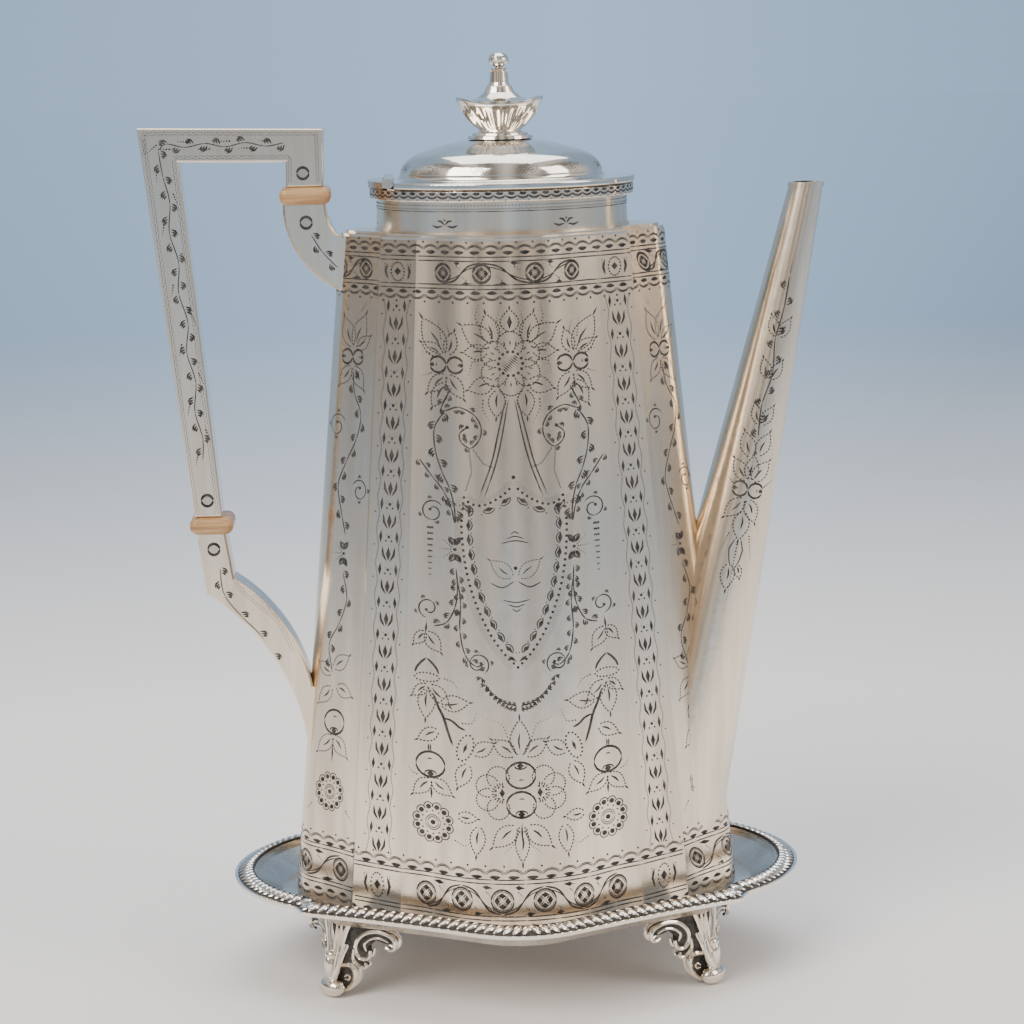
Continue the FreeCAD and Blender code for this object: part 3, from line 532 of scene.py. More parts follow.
# Near-black: tarnish in the engraved cuts, and painted shade on the sheets between the gadroons and in the
# feet's hollows.
def make_cut_and_shade_black():
    black = Recipe("blackened cuts and painted shade")
    mottle = black.noise((700, 700, 700), detail=2.0)
    worn = mottle.span(0.35, 0.65, 0.0, 1.0)
    black.set(Base_Color=black.mix(worn, (0.012, 0.010, 0.009), (0.07, 0.06, 0.052)))
    black.set(Metallic=0.35, Roughness=0.42 + mottle * 0.2)
    return black.owner


cut_and_shade_black = make_cut_and_shade_black()


def half_turn(piece, name, body):
    """The same engraving on the opposite side of the pot, turned about its axis."""
    copy = piece.copy()
    copy.data = piece.data.copy()
    copy.name = name
    copy.parent = None
    about = Matrix.Translation(AXIS) @ Matrix.Rotation(math.pi, 4, "Z") @ Matrix.Translation(-AXIS)
    copy.data.transform(about)
    bpy.context.scene.collection.objects.link(copy)
    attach(copy, body)
    return copy


def engrave(name, body, tree, aim, drawing):
    """Lays a drawing on the silver, one small mesh for each cut, joined into one piece."""
    places, faces, total = [], [], 0
    jobs = [(SLIVERS[min(len(points), 4)], points, width) for points, width in drawing.cuts]
    jobs += [(PRICK, at, radius) for at, radius in drawing.pricks]
    for (corners, triangles), where, size in jobs:
        if isinstance(where, list):
            flat, rise = sliver_places(corners, where, size)
        else:
            flat = where + size * (corners[:, 0] + 1j * corners[:, 1])
            rise = corners[:, 2]
        laid = []
        for spot, up in zip(flat, rise):
            start, direction = aim(spot.real, spot.imag)
            hit, normal, _, _ = tree.ray_cast(start, direction)
            if hit is None:
                break
            laid.append(hit + normal * (up * CUT_RISE * MM))
        if len(laid) == len(corners):
            places += laid
            faces.append(triangles + total)
            total += len(corners)
    mesh = bpy.data.meshes.new(name)
    mesh.from_pydata(places, [], np.concatenate(faces).tolist())
    piece = bpy.data.objects.new(name, mesh)
    bpy.context.scene.collection.objects.link(piece)
    mesh.materials.append(cut_and_shade_black)
    mesh.update()
    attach(piece, body)
    return piece


# ---------------------------------------------------------------- engraving, small flowers
# The set pieces every panel is made up from. All of them are cut freehand, so the leaves
# have toothed edges made of short strokes, a mid rib and a drawn-out tip.


def leaf(d, root, tip, fat=0.3, gap=1.0, width=0.32):
    long = tip - root
    for side in (1, -1):
        edge = [root + long * complex(t, side * fat * math.sin(math.pi * t ** 0.85))
                for t in np.linspace(0.04, 0.96, 15)]
        dots = along(edge, gap)
        for a, b in zip(dots, dots[1:]):
            d.nick(a, b + side * 0.22j * (b - a), width)
    d.nick(root + 0.14 * long, root + 0.66 * long, width * 1.1, 0.07)
    d.nick(root + 0.92 * long, root + 1.2 * long, width * 1.15)


def sprig(d, at, way, side, size=1.0):
    """Three curved strokes that branch off a stem, the first the longest."""
    for k in range(3):
        root = at + way * 0.95 * k * size + side * 0.45j * way
        reach = way * turn(40 * side) * size * (3.4 - 0.85 * k)
        d.nick(root, root + reach, 0.42 * size, 0.16 * side)


def vine(d, points, size=1.0, gap=4.4, width=0.26, sides=(1, -1)):
    """A fine stem with sprigs to one side and the other."""
    stem = sway(points)
    for start in range(0, len(stem) - 1, 8):
        d.cut(stem[start:start + 10], width)
    knots = along(stem, gap * size)
    for k, (a, b) in enumerate(zip(knots[:-1], knots[1:])):
        sprig(d, a, (b - a) / abs(b - a), sides[k % len(sides)], size)


def curl(d, centre, radius, start, degrees, width=0.26, pit=0.5):
    """A scroll that winds in to a pit."""
    sweep = np.linspace(0, 1, 26)
    line = [centre + turn(start + degrees * t, radius * (1 - 0.72 * t ** 1.6)) for t in sweep]
    d.cut(line[:14], width)
    d.cut(line[12:], width)
    d.prick(line[-1], pit)
    return line


def small_scroll(d, centre, radius, start, degrees):
    line = curl(d, centre, radius, start, degrees)
    for k in (3, 8, 13):
        way = (line[k + 1] - line[k]) / abs(line[k + 1] - line[k])
        sprig(d, line[k], way, -1 if degrees > 0 else 1, 0.5)


def daisy(d, centre, radius):
    """Twelve round petals, each a big pit in a bright arc, round a ringed eye."""
    for k in range(12):
        way = turn(30 * k + 15)
        petal = centre + 0.77 * radius * way
        d.prick(petal, 0.135 * radius)
        d.prick(centre + 0.56 * radius * way * turn(15), 0.045 * radius)
        d.cut(arc(petal, 0.225 * radius, 30 * k + 15 - 118, 30 * k + 15 + 118), 0.2)
    d.ring(centre, 0.36 * radius, 0.18)
    d.ring(centre, 0.26 * radius, 0.18)
    d.prick(centre, 0.13 * radius)


def berries(d, centre, radius, lean=0):
    """Two round fruits side by side, each with a dark eye on its outer side."""
    for side in (1, -1):
        middle = centre + side * radius * 1.06 * turn(lean)
        start = lean + (14 if side > 0 else 194)
        edge = arc(middle, radius, start, start + 332)
        d.cut(edge[:7], 0.42)
        d.cut(edge[6:], 0.42)
        eye = middle + side * 0.72 * radius * turn(lean)
        d.prick(eye, 0.30 * radius)
        shine = [middle + side * turn(lean + tilt, 0.35 * radius) for tilt in (40, -40)]
        d.nick(shine[0], shine[1], 0.2, -0.3 * side)


def apple(d, centre, radius, up=1):
    d.ring(centre, radius, 0.42, 0.88)
    eye = centre - 0.64j * radius * up
    d.cut(arc(eye, 0.40 * radius, -12, 192, 0.55 * up), 0.3)
    d.cut(arc(eye - 0.06j * radius * up, 0.42 * radius, 170, 370, 0.42 * up), 0.4)
    d.nick(eye - 0.26 * radius, eye + 0.26 * radius, 0.30 * radius)
    shine = [centre + complex(across, rise * up) * radius for across, rise in ((-0.18, 0.36), (0.24, 0.34))]
    d.nick(shine[0], shine[1], 0.26, 0.15)


def bell(d, top, wide, deep):
    """A drooping bell flower: two shoulders and a mouth of pricks."""
    shoulder = ((0, 0), (0.45, 0.3), (0.8, 0.62), (1, 1))
    for side in (1, -1):
        d.cut([top + complex(side * wide * across, -deep * down) for across, down in shoulder], 0.42)
    mouth = top - 1.25j * deep
    for at in along(arc(mouth, wide, 0, 360, 0.36, 40), 1.0)[1:]:
        d.prick(at, 0.30)


def pod(d, centre, way, size):
    """A seed head: an oval of pricks with one long cut down it."""
    angles = np.linspace(0, 2 * math.pi, 37)
    oval = [centre + way * (size * math.cos(a) + 0.52j * size * math.sin(a)) for a in angles]
    for at in along(oval, 1.15)[1:]:
        d.prick(at, 0.34)
    d.nick(centre - 0.45 * size * way, centre + 0.45 * size * way, 0.6)


def petals(d, centre, radius, first, step, count, core):
    """Broad toothed petals with short rays at the root of each."""
    for k in range(count):
        way = turn(first + step * k)
        middle = centre + 0.62 * radius * way
        bend = math.radians(step)
        outline = [middle + 0.42 * radius * way * turn(a) for a in np.linspace(-130, 130, 19)]
        dots = along(outline, 0.85)
        for a, b in zip(dots, dots[1:]):
            d.nick(a, b - 0.25j * (b - a), 0.34)
        for spread in (-16, 0, 16):
            ray = way * turn(spread)
            d.nick(centre + core * 1.25 * ray, centre + (core * 1.25 + 0.2 * radius) * ray, 0.28)


def star_flower(d, centre, size, way=1):
    """Four curved petals round a pit, two of them cut deep, with rays of fine pricks."""
    d.prick(centre, 0.6 * size)
    for side in (1, -1):
        for reach, fat, inner in ((5.2, 0.3, 1.0), (5.4, -0.24, -1.0)):
            tip = centre + size * reach * way * turn(side * (62 if inner > 0 else 118)) * 0.92
            root = centre + size * 0.9 * way * turn(side * 90)
            d.nick(root, tip, 0.34, fat * side)
            d.nick(root + (tip - root) * 0.12, tip - (tip - root) * 0.12, 0.75 * size, -0.16 * fat * side)
    for spread in (-38, 0, 38):
        d.fade([centre + way * turn(spread, 1.3 * size), centre + way * turn(spread, 4.6 * size)], 0.75, 0.24)


# ---------------------------------------------------------------- engraving, broad panels
# Front and back: a great flower hangs ribbons that hold a blank shield; scrolls, bells,
# fruit and daisies climb on either side, over a pair of apples between two blossoms.


def great_flower(d, at):
    """A hatched eye in a ring of pits, with petals round it."""
    for k in range(14):
        d.prick(at + turn(360 * k / 14, 3.5), 0.52)
    for k in range(-4, 5):
        half = turn(-40, math.sqrt(max(0.1, 2.75 ** 2 - (0.62 * k) ** 2)))
        middle = at + turn(-40, 0.62 * k) * 1j
        d.nick(middle - half, middle + half, 0.26)
    petals(d, at, 8.8, 30, 60, 6, 4.1)


def half_panel(d):
    """The right half of the pattern."""
    flower = 191.6j
    for root, tip in ((4.7 + 5.6j, 6.9 + 14.4j), (5.2 + 5.2j, 13.8 + 11.0j), (6.4 + 3.6j, 13.4 + 3.2j),
                      (4.9 - 5.2j, 12.3 - 7.6j), (3.9 - 7.4j, 4.5 - 15.4j)):
        leaf(d, flower + root, flower + tip, 0.3)
    for first, bend, last in ((3.2 + 8j, 4.0 + 11.4j, 3.2 + 15j), (9.0 + 11j, 9.9 + 13.6j, 9.0 + 16.8j),
                              (8.4 + 1.0j, 11.0 + 0.6j, 12.0 - 3.2j), (8.2 - 10.5j, 8.4 - 13j, 6.3 - 17j)):
        d.fade([flower + first, flower + bend, flower + last], 0.95, 0.3)
    pair = 18.4 + 191.0j
    berries(d, pair, 2.35)
    for root, tip in ((0.6 + 2.8j, 6.6 + 13.2j), (1.0 + 2.7j, 6.9 + 6.2j), (-0.3 + 2.8j, -2.4 + 9.6j),
                      (0.2 - 2.8j, 5.6 - 8.2j), (-0.2 - 2.8j, -4.6 - 9.6j), (0.4 - 5.2j, 4.4 - 12.4j)):
        leaf(d, pair + root, pair + tip, 0.26)
    for first, last in ((1.4 + 7.5j, 2.0 + 12.5j), (4.8 + 3.2j, 6.6 + 3.4j),
                        (4.6 - 2.6j, 6.8 - 3.4j), (-1.0 + 9.0j, -0.2 + 12.0j)):
        d.fade([pair + first, pair + last], 0.85, 0.24)
    vine(d, (19.5 + 177.4j, 22.4 + 172.4j, 22.3 + 166j, 20.6 + 160j, 18.6 + 155.5j, 17.4 + 150.5j,
             17.0 + 145j), 0.9, sides=(-1, 1))
    vine(d, (17.2 + 184.6j, 20.2 + 178.6j, 19.4 + 177.6j, 15.3 + 178.9j, 10.9 + 176.8j, 9.0 + 173.4j,
             9.5 + 169.8j, 12.1 + 167.2j, 14.7 + 168.7j, 15.2 + 171.2j, 13.0 + 173.2j),
         0.62, 3.6, sides=(1, -1, 1))
    d.prick(13.0 + 173.2j, 0.6)
    d.wiggle([11.6 + 167.0j, 8.4 + 162.6j, 4.4 + 161.2j], 0.2, 0.3)
    d.wiggle([12.6 + 167.0j, 12.0 + 160.2j, 14.2 + 154.0j], 0.2, 0.3)
    vine(d, (27.2 + 163.4j, 23.4 + 158.2j, 20.2 + 154.2j, 18.2 + 149.6j, 17.3 + 145.0j), 0.62, 3.6)
    small_scroll(d, 23.6 + 148.0j, 3.3, 150, -470)
    for k in range(9):
        at = complex(24.4 + 0.06 * k, 143.6 - 1.75 * k)
        small = 1.0 - 0.07 * k
        d.nick(at, at - 0.9j * small, 0.5 * small)
        for side in (1, -1):
            flick = at + side * 0.95 * small - 0.75j * small
            d.nick(at + side * 0.2 * small, flick, 0.36 * small, 0.12 * side)
    star_flower(d, 17.5 + 137.4j, 0.9)
    vine(d, (17.2 + 132j, 17.0 + 126j, 17.8 + 120.6j, 20.4 + 115.8j, 24.2 + 114.2j), 0.72, 3.4)
    vine(d, (17.0 + 129j, 16.2 + 122j, 16.6 + 114j, 15.4 + 107j, 12.4 + 103.6j, 9.8 + 104.4j), 0.66, 3.4)
    small_scroll(d, 25.6 + 119.4j, 3.0, -80, 400)
    for tip in (30.2 + 108.0j, 22.4 + 106.2j):
        leaf(d, 26.6 + 112.4j, tip + 0.5j, 0.3)
    d.nick(26.2 + 115.6j, 26.7 + 111.5j, 0.4)
    bell(d, 26.6 + 104.6j, 3.6, 4.6)
    for root, tip in ((26.4 + 96.6j, 31.0 + 93.2j), (26.0 + 96.6j, 20.4 + 91.2j),
                      (26.6 + 95.6j, 27.4 + 86.6j), (23.0 + 91.4j, 14.6 + 92.6j),
                      (23.6 + 83.4j, 29.8 + 80.2j)):
        leaf(d, root, tip, 0.27)
    d.cut(sway((25.0 + 94.6j, 23.6 + 90.6j, 22.0 + 87.4j, 20.9 + 83.4j, 19.4 + 79.0j)), 0.5)
    d.cut(sway((22.0 + 87.4j, 19.6 + 86.8j, 17.6 + 85.2j, 15.6 + 84.4j)), 0.42)
    d.fade(sway((21.4 + 99j, 19.0 + 98.2j, 17.6 + 96.2j)), 0.8, 0.26)
    d.fade(sway((16.6 + 86.4j, 13.8 + 86.8j, 12.4 + 90.2j)), 0.9, 0.3)
    pod(d, 16.0 + 79.2j, turn(112), 4.1)
    leaf(d, 13.8 + 77.6j, 7.6 + 81.0j, 0.3)
    leaf(d, 15.2 + 74.6j, 18.4 + 67.4j, 0.28)
    apple(d, 26.3 + 73.0j, 4.3)
    for side in (0.25, -0.35):
        d.nick(26.3 + side + 79.2j, 26.3 + side + 76.8j, 0.3, 0.1)
    for tip in (31.6 + 63.8j, 20.2 + 64.6j):
        leaf(d, 26.2 + 68.6j, tip, 0.28)
    d.fade(sway((30.4 + 69.6j, 32.0 + 70.4j, 32.8 + 72.0j)), 0.75, 0.24)
    d.nick(26.2 + 66.6j, 26.2 + 62.6j, 0.42)
    daisy(d, 26.0 + 55.8j, 6.1)
    d.fade(sway((19.6 + 51.4j, 17.0 + 50.2j, 15.0 + 51.0j)), 0.85, 0.26)
    leaf(d, 18.8 + 58.8j, 13.0 + 58.4j, 0.28)
    leaf(d, 12.6 + 56.4j, 13.6 + 47.6j, 0.24)
    small_scroll(d, 11.6 + 104.2j, 3.2, 240, -440)
    for k in range(9):
        low = complex(10.6 - 1.25 * k, 100.4 - 8.6 * math.sin(math.pi / 2 * k / 9) ** 0.8)
        way = turn(-62 + 7 * k)
        for side in (1, -1):
            d.nick(low, low + way * turn(28 * side, 1.9), 0.4, 0.1 * side)
            d.nick(low + 0.7 * side * 1j * way, low + 0.7j * side * way + way * turn(34 * side, 1.5), 0.3)
    blossom = 5.6 + 66.4j
    petals(d, blossom, 7.6, -76, 51, 4, 1.5)
    for k in range(6):
        d.prick(blossom + turn(-100 + 40 * k, 1.9), 0.36)
    d.nick(blossom - 1.5j, blossom + 1.5j, 1.0)
    leaf(d, 1.4 + 77.4j, 8.0 + 82.0j, 0.28)
    leaf(d, 1.6 + 56.6j, 8.6 + 50.4j, 0.28)
    d.fade(sway((1.4 + 78.4j, 3.4 + 82.4j, 5.2 + 86.6j, 9.2 + 88.0j)), 1.0, 0.3)
    d.fade(sway((0.9 + 56j, 2.2 + 51.6j, 5.4 + 48.6j)), 0.9, 0.32)


def shield(d):
    """The right half of the shield's border, with its ribbons."""
    top = sway((0 + 156.6j, 3.6 + 153.4j, 8.6 + 150.8j, 12.4 + 151.0j, 14.4 + 152.8j))
    side = sway((14.4 + 152.8j, 15.2 + 147j, 15.3 + 141.9j, 14.6 + 133.7j, 12.6 + 124.4j, 8.6 + 114.6j,
                 4.2 + 107.8j, 0 + 103.4j))
    for line in (top, side):
        for at in along(line, 1.72)[1:]:
            d.prick(at, 0.46)
    outer = [p + 1.15j * (q - p) / abs(q - p) for p, q in zip(side, side[1:])]
    d.stipple(outer, 1.5)
    upper = [p + 1.2j * (q - p) / abs(q - p) for p, q in zip(top, top[1:])]
    d.stipple(upper, 0.9)
    inside = -1.9j
    for line in (top[4:], side[2:-5]):
        moons = along(line, 4.3)
        for a, b in zip(moons, moons[1:]):
            way = (b - a) / abs(b - a)
            start, end = a + way * 0.4 + inside * way, b - way * 0.4 + inside * way
            d.nick(start, end, 0.8)
            d.cut([start, start + way * 0.8 - 0.85j * way, (start + end) / 2 - 1.15j * way,
                   end - way * 0.8 - 0.85j * way, end], 0.22)
            d.prick(end + inside * way * 0.45 + 0.4 * way, 0.22)
    d.nick(3.2 + 107.2j, 0.25 + 105.0j, 0.6)
    for edge in (0.0, 1.35):
        d.cut(sway((0.9 + edge * 0.6 + 181.6j, 3.0 + edge + 170.6j, 5.0 + edge + 162.6j,
                    8.6 + edge * 1.2 + 152.6j)), 0.26)
    d.stipple(sway((1.2 + 181.0j, 3.6 + 170.6j, 5.7 + 162.6j, 9.2 + 152.8j)), 0.8, 0.55)


def blank_shield_sprig(d):
    """Two leaves and light flourishes where a family would have its letters."""
    for side in (1, -1):
        leaf(d, complex(side * 0.9, 129.6), complex(side * 7.2, 134.6), 0.26, 0.85, 0.22)
        d.cut(sway([complex(side * x, z) for x, z in ((0.4, 128.6), (4.0, 126.8), (7.6, 128.2))]), 0.24)
    d.prick(132.4j, 0.6)
    for k, half in enumerate((4.2, 2.6, 1.3)):
        for sign in (1, -1):
            rise = 131.4 + sign * (8.2 + 1.3 * k)
            d.cut(sway((complex(-half, rise), complex(0, rise + sign * 0.8), complex(half, rise))), 0.22)


def broad_panel():
    d = Drawing()
    half_panel(d)
    shield(d)
    d.mirrored()
    great_flower(d, 191.6j)
    leaf(d, 200.6j, 207.2j, 0.4)
    d.nick(201.4j, 205.6j, 0.9)
    d.prick(158.8j, 0.62)
    blank_shield_sprig(d)
    apple(d, 71.6j, 4.4, -1)
    apple(d, 62.9j, 4.4, 1)
    leaf(d, 77.2j, 88.0j, 0.26)
    leaf(d, 55.6j, 45.8j, 0.2)
    d.nick(58.2j, 51.4j, 0.4)
    return d


wall_surface = surface("body_shell")
panel = broad_panel()
front = engrave("engraved_panel_front", "pot", wall_surface, facing(-90), panel)
half_turn(front, "engraved_panel_back", "pot")


# ---------------------------------------------------------------- engraving, the two bands
# Round the foot and the shoulder runs a band of ringed crosses joined by scrolls, between
# ruled lines and rows of half-moons. An oval of pricks marks each pilaster.

WALL_TAPER = 0.001444      # the wall draws in by this share of its width for each millimetre
PILASTER_TURN = 39.7       # degrees from the pot's long axis to the middle of a pilaster


def wall_size(height):
    return 1 - WALL_TAPER * (height - 37.7)


def ruled(d, length, height, width=0.24):
    for k in range(int(length / 10) + 1):
        start = 10 * k - length / 2
        d.cut([complex(start + 0.5 * j * 2.2, height) for j in range(11)], width)


def half_moons(d, length, height, pitch, up, pit=0.36):
    count = int(round(length / pitch))
    pitch = length / count
    for k in range(count):
        x = -length / 2 + (k + 0.5) * pitch
        arch = arc(complex(x, height), 0.47 * pitch, 14, 166, 0.72 * up, 8)
        d.cut(arch, 0.24)
        d.cut([complex(x, height) + 1.22 * (p - complex(x, height)) for p in arch], 0.16)
        d.nick(complex(x - 0.34 * pitch, height), complex(x + 0.34 * pitch, height), 0.72, -0.06 * up)
        d.prick(complex(x + 0.5 * pitch, height + up * 0.56 * pitch), pit)


def ringed_cross(d, at, radius):
    d.ring(at, radius, 0.36)
    d.ring(at, 0.84 * radius, 0.16)
    for k in range(4):
        way = turn(90 * k)
        d.nick(at + 0.74 * radius * way, at + 0.20 * radius * way, 0.46 * radius)
        d.nick(at, at + 0.72 * radius * turn(90 * k + 45), 0.28)


def scrolls(d, places, height, radius, deep):
    """Joins each cross to the next with a double line that rolls over and under."""
    for k, (a, b) in enumerate(zip(places, places[1:])):
        up = 1 if k % 2 else -1
        step = b - a
        for lane, width in ((0.0, 0.34), (0.75, 0.2)):
            far, near = deep - lane, 0.62 * deep - lane
            line = sway((complex(a, height + up * far), complex(a + 0.34 * step, height + up * near),
                         complex(b - 0.34 * step, height - up * near), complex(b, height - up * far)), 6)
            d.cut(line[:10], width)
            d.cut(line[8:], width)
        for side, x in ((up, a + 0.62 * step), (-up, a + 0.38 * step)):
            reach = side * deep
            d.nick(complex(x - 0.17 * step, height + reach), complex(x + 0.17 * step, height + reach * 0.9),
                   0.8)
            d.fade([complex(x, height + reach * 0.62), complex(x + side * 1.4, height + reach * 0.3)],
                   0.7, 0.24)


def prick_oval(d, at, wide, tall):
    for k in range(17):
        a = 2 * math.pi * k / 17
        d.prick(at + complex(wide * math.cos(a), tall * math.sin(a)), 0.33)
    d.nick(at + 0.45j * tall, at - 0.4j * tall, 0.62 * wide)
    for side in (1, -1):
        out = side * wide
        d.nick(at + complex(out * 1.55, 0.9 * tall), at + complex(out * 1.5, -0.9 * tall), 0.6, 0.16 * side)
        d.fade([at + complex(out * 2.0, 0.8 * tall), at + complex(out * 1.9, -0.6 * tall)], 0.75, 0.22)


def make_band(name, level, rows, roundels, radius, deep):
    """rows gives the height of each ruled line and of each row of half-moons."""
    walk = around(wall_surface, level, taper=wall_size)
    d = Drawing()
    for height in rows["lines"]:
        ruled(d, walk.length, height)
    for height, up, pitch in rows["moons"]:
        half_moons(d, walk.length, height, pitch, up)
    back = walk.length / 2
    front, ends = roundels
    for middle, places in ((0, front), (walk.where(0), ends), (back, front), (walk.where(180), ends)):
        spots = [middle + p for p in places]
        for x in spots:
            ringed_cross(d, complex(x, level), radius)
        scrolls(d, spots, level, radius, deep)
    for side in (-PILASTER_TURN, PILASTER_TURN, 180 - PILASTER_TURN, 180 + PILASTER_TURN):
        prick_oval(d, complex(walk.where(side), level), 2.35, 0.86 * deep)
    engrave(name, "pot", wall_surface, walk, d)


make_band("engraved_band_high", 217.5,
          {"lines": (222.2, 221.0, 214.2, 213.0), "moons": ((223.6, 1, 4.9), (211.8, -1, 4.9))},
          ((-20.4, -7.8, 7.8, 20.4), (-16.2, -5.4, 5.4, 16.2)), 2.75, 3.1)
make_band("engraved_band_low", 34.3,
          {"lines": (40.6, 39.4, 29.7, 28.5), "moons": ((41.5, 1, 5.6), (26.6, -1, 5.6))},
          ((-31.5, -18.9, -6.3, 6.3, 18.9, 31.5), (-24.0, -8.0, 8.0, 24.0)), 3.4, 4.2)


# ---------------------------------------------------------------- engraving, the pilasters
# Each flat strip carries a string of tulips with three pits over each, between two borders
# that zigzag in and out.


ZIGZAG_STEPS = 14


def tulip_column(low, high, count):
    d = Drawing()
    pitch = (high - low) / count
    for k in range(count):
        base = low + k * pitch
        d.nick(complex(0, base + 0.06 * pitch), complex(0, base + 0.50 * pitch), 1.0)
        for side in (1, -1):
            d.nick(complex(side * 0.45, base + 0.04 * pitch), complex(side * 2.3, base + 0.52 * pitch),
                   0.5, -0.13 * side)
            d.prick(complex(side * 1.05, base + 0.68 * pitch), 0.32)
            d.prick(complex(side * 0.95, base + 0.86 * pitch), 0.14)
            d.nick(complex(side * 3.1, base + 0.60 * pitch), complex(side * 2.85, base + 1.0 * pitch), 0.72)
            d.prick(complex(side * 5.3, base + 0.55 * pitch), 0.26)
            zigzag = []
            for j in range(ZIGZAG_STEPS + 1):
                share = j / ZIGZAG_STEPS
                out = 4.15 + 0.42 * math.cos(2 * math.pi * share) + (0.34 if j % 2 else -0.34)
                zigzag.append(complex(side * out, base + share * pitch))
            for a, b in zip(zigzag, zigzag[1:]):
                d.cut([a, b], 0.19)
        d.prick(complex(0, base + 0.80 * pitch), 0.52)
    return d


column = tulip_column(43.8, 209.4, 17)
for name, angle in (("right", -PILASTER_TURN), ("left", 180 + PILASTER_TURN)):
    strip = around(wall_surface, 127, angle, wall_size)
    near = engrave("engraved_pilaster_front_" + name, "pot", wall_surface, strip, column)
    half_turn(near, "engraved_pilaster_back_" + ("left" if name == "right" else "right"), "pot")


# ---------------------------------------------------------------- engraving, the end lobes
# The rounded ends have the same growing plants on each side of the spout and the handle.


def end_panel():
    d = Drawing()
    berries(d, 191.0j, 2.2)
    for root, tip in ((0.4 + 193.8j, 4.6 + 203.6j), (-0.4 + 193.8j, -4.2 + 202.6j),
                      (1.6 + 193.4j, 7.0 + 197.4j), (0.4 + 188.2j, 5.2 + 181.6j),
                      (-0.4 + 188.2j, -5.0 + 182.4j)):
        leaf(d, root, tip, 0.27)
    vine(d, (0.6 + 187j, 1.6 + 180j, 4.8 + 174j, 3.6 + 167j, 0 + 160j, -3.2 + 152j, -1.0 + 143j,
             1.0 + 137j), 0.9)
    small_scroll(d, -5.0 + 170.0j, 3.6, 20, 440)
    small_scroll(d, 6.0 + 151.0j, 3.4, 160, -440)
    star_flower(d, 0.6 + 131.4j, 0.9, -1)
    vine(d, (0.6 + 126j, 3.0 + 118j, 0.4 + 110j, -3.4 + 103j, -1.4 + 95j), 0.9)
    for root, tip in ((-1.0 + 96j, 5.4 + 100.4j), (-1.4 + 94j, -7.4 + 97j),
                      (0.6 + 90.6j, 7.4 + 88.2j), (-1.2 + 90j, -6.6 + 84.6j)):
        leaf(d, root, tip, 0.28)
    apple(d, 0.6 + 79.4j, 4.3)
    for tip in (6.6 + 69.4j, -5.8 + 69.6j):
        leaf(d, 0.4 + 75.0j, tip, 0.28)
    d.nick(0.4 + 73.0j, 0.4 + 66.6j, 0.42)
    daisy(d, 0.2 + 57.6j, 6.1)
    for side in (1, -1):
        d.fade([complex(7.8 * side, 52.6), complex(10.6 * side, 50.0)], 0.85, 0.28)
        d.fade([complex(3.0 * side, 205.0), complex(4.6 * side, 207.4)], 0.8, 0.24)
    return d


plants = end_panel()
for name, angle in (("right", -13.5), ("left", 180 + 13.5)):
    strip = around(wall_surface, 127, angle, wall_size)
    near = engrave("engraved_end_front_" + name, "pot", wall_surface, strip, plants)
    half_turn(near, "engraved_end_back_" + ("left" if name == "right" else "right"), "pot")


# ---------------------------------------------------------------- engraving, handle and spout
# The flat sides of the handle have a running vine between stippled edges. The spout has one
# long spray with a pair of berries in the middle.


def handle_sides():
    d = Drawing()
    outer = (-106.0 + 252j, -106.2 + 258.3j, -100 + 258.4j, -55.0 + 257.2j, -54.9 + 243.0j)
    inner = (-63.2 + 243.0j, -62.9 + 250.7j, -97.3 + 251.2j)
    for line in (outer, inner, (-106.0 + 257.0j, -94.8 + 143.6j), (-97.5 + 250.6j, -88.6 + 143.6j)):
        for a, b in zip(line, line[1:]):
            side = 0.28j * (b - a) / abs(b - a)
            wavy = [p + side * math.sin(2.2 * k) for k, p in enumerate(along([a, b], 0.8))]
            d.stipple(wavy, 0.75, 0.62, 0.14)
    run = (-64.5 + 254.9j, -70 + 254.0j, -76 + 255.2j, -82 + 254.1j, -88 + 255.2j, -94 + 254.2j,
           -99.5 + 255.3j, -101.9 + 253.4j)
    fall = (-101.9 + 253.4j, -100.9 + 246j, -99.1 + 238j, -99.6 + 229j, -97.2 + 220j, -97.6 + 211j,
            -95.2 + 202j, -95.9 + 193j, -93.6 + 184j, -94.2 + 175j, -92.2 + 167j, -92.4 + 160j)
    for line in (run, fall):
        vine(d, line, 0.86, 4.6, 0.2, sides=(1, -1))
        stem = sway(line)
        for k, (a, b) in enumerate(zip(stem[6::8], stem[7::8])):
            way = (b - a) / abs(b - a)
            side = 1j if k % 2 else -1j
            d.fade([a + side * 1.5 * way, a + side * 2.0 * way + 3.2 * way], 0.8, 0.34)
    for x, z in ((-59.3, 245.7), (-91.6, 147.7), (-58.8, 231.0), (-90.2, 132.6)):
        d.ring(complex(x, z), 1.75, 0.5)
    vine(d, (-57.5 + 227.5j, -54.4 + 222.4j, -50.0 + 217.6j, -46.4 + 214.8j), 0.8, 4.0, 0.2)
    vine(d, (-88.6 + 127.0j, -87.6 + 118.6j, -82.6 + 111.6j, -76.6 + 105.0j, -72.0 + 96.0j,
             -69.4 + 88.0j), 0.86, 4.6, 0.2)
    return d


def socket_edges(d):
    """Stippled edges of the two sockets, a little inside their outlines."""
    for line in ((-65.6 + 235.0j, -64.2 + 225.0j, -58.0 + 215.6j, -50.2 + 210.4j, -45.5 + 209.4j),
                 (-52.4 + 235.0j, -51.2 + 230.0j, -47.5 + 226.4j),
                 (-95.0 + 136.0j, -93.4 + 117.6j, -86.4 + 109.4j, -79.0 + 102.0j, -73.8 + 92.0j,
                  -71.2 + 80.0j),
                 (-85.4 + 136.0j, -84.2 + 123.0j, -78.6 + 116.0j, -72.0 + 110.0j, -67.0 + 100.0j)):
        d.stipple(sway(line), 0.75, 0.62, 0.14)


handle_surface = surface("handle_grip", "handle_upper_socket", "handle_lower_socket")
vines = handle_sides()
socket_edges(vines)
engrave("engraved_handle_front", "pot", handle_surface, facing(-90), vines)
engrave("engraved_handle_back", "pot", handle_surface, facing(90), vines.moved(flip=True))


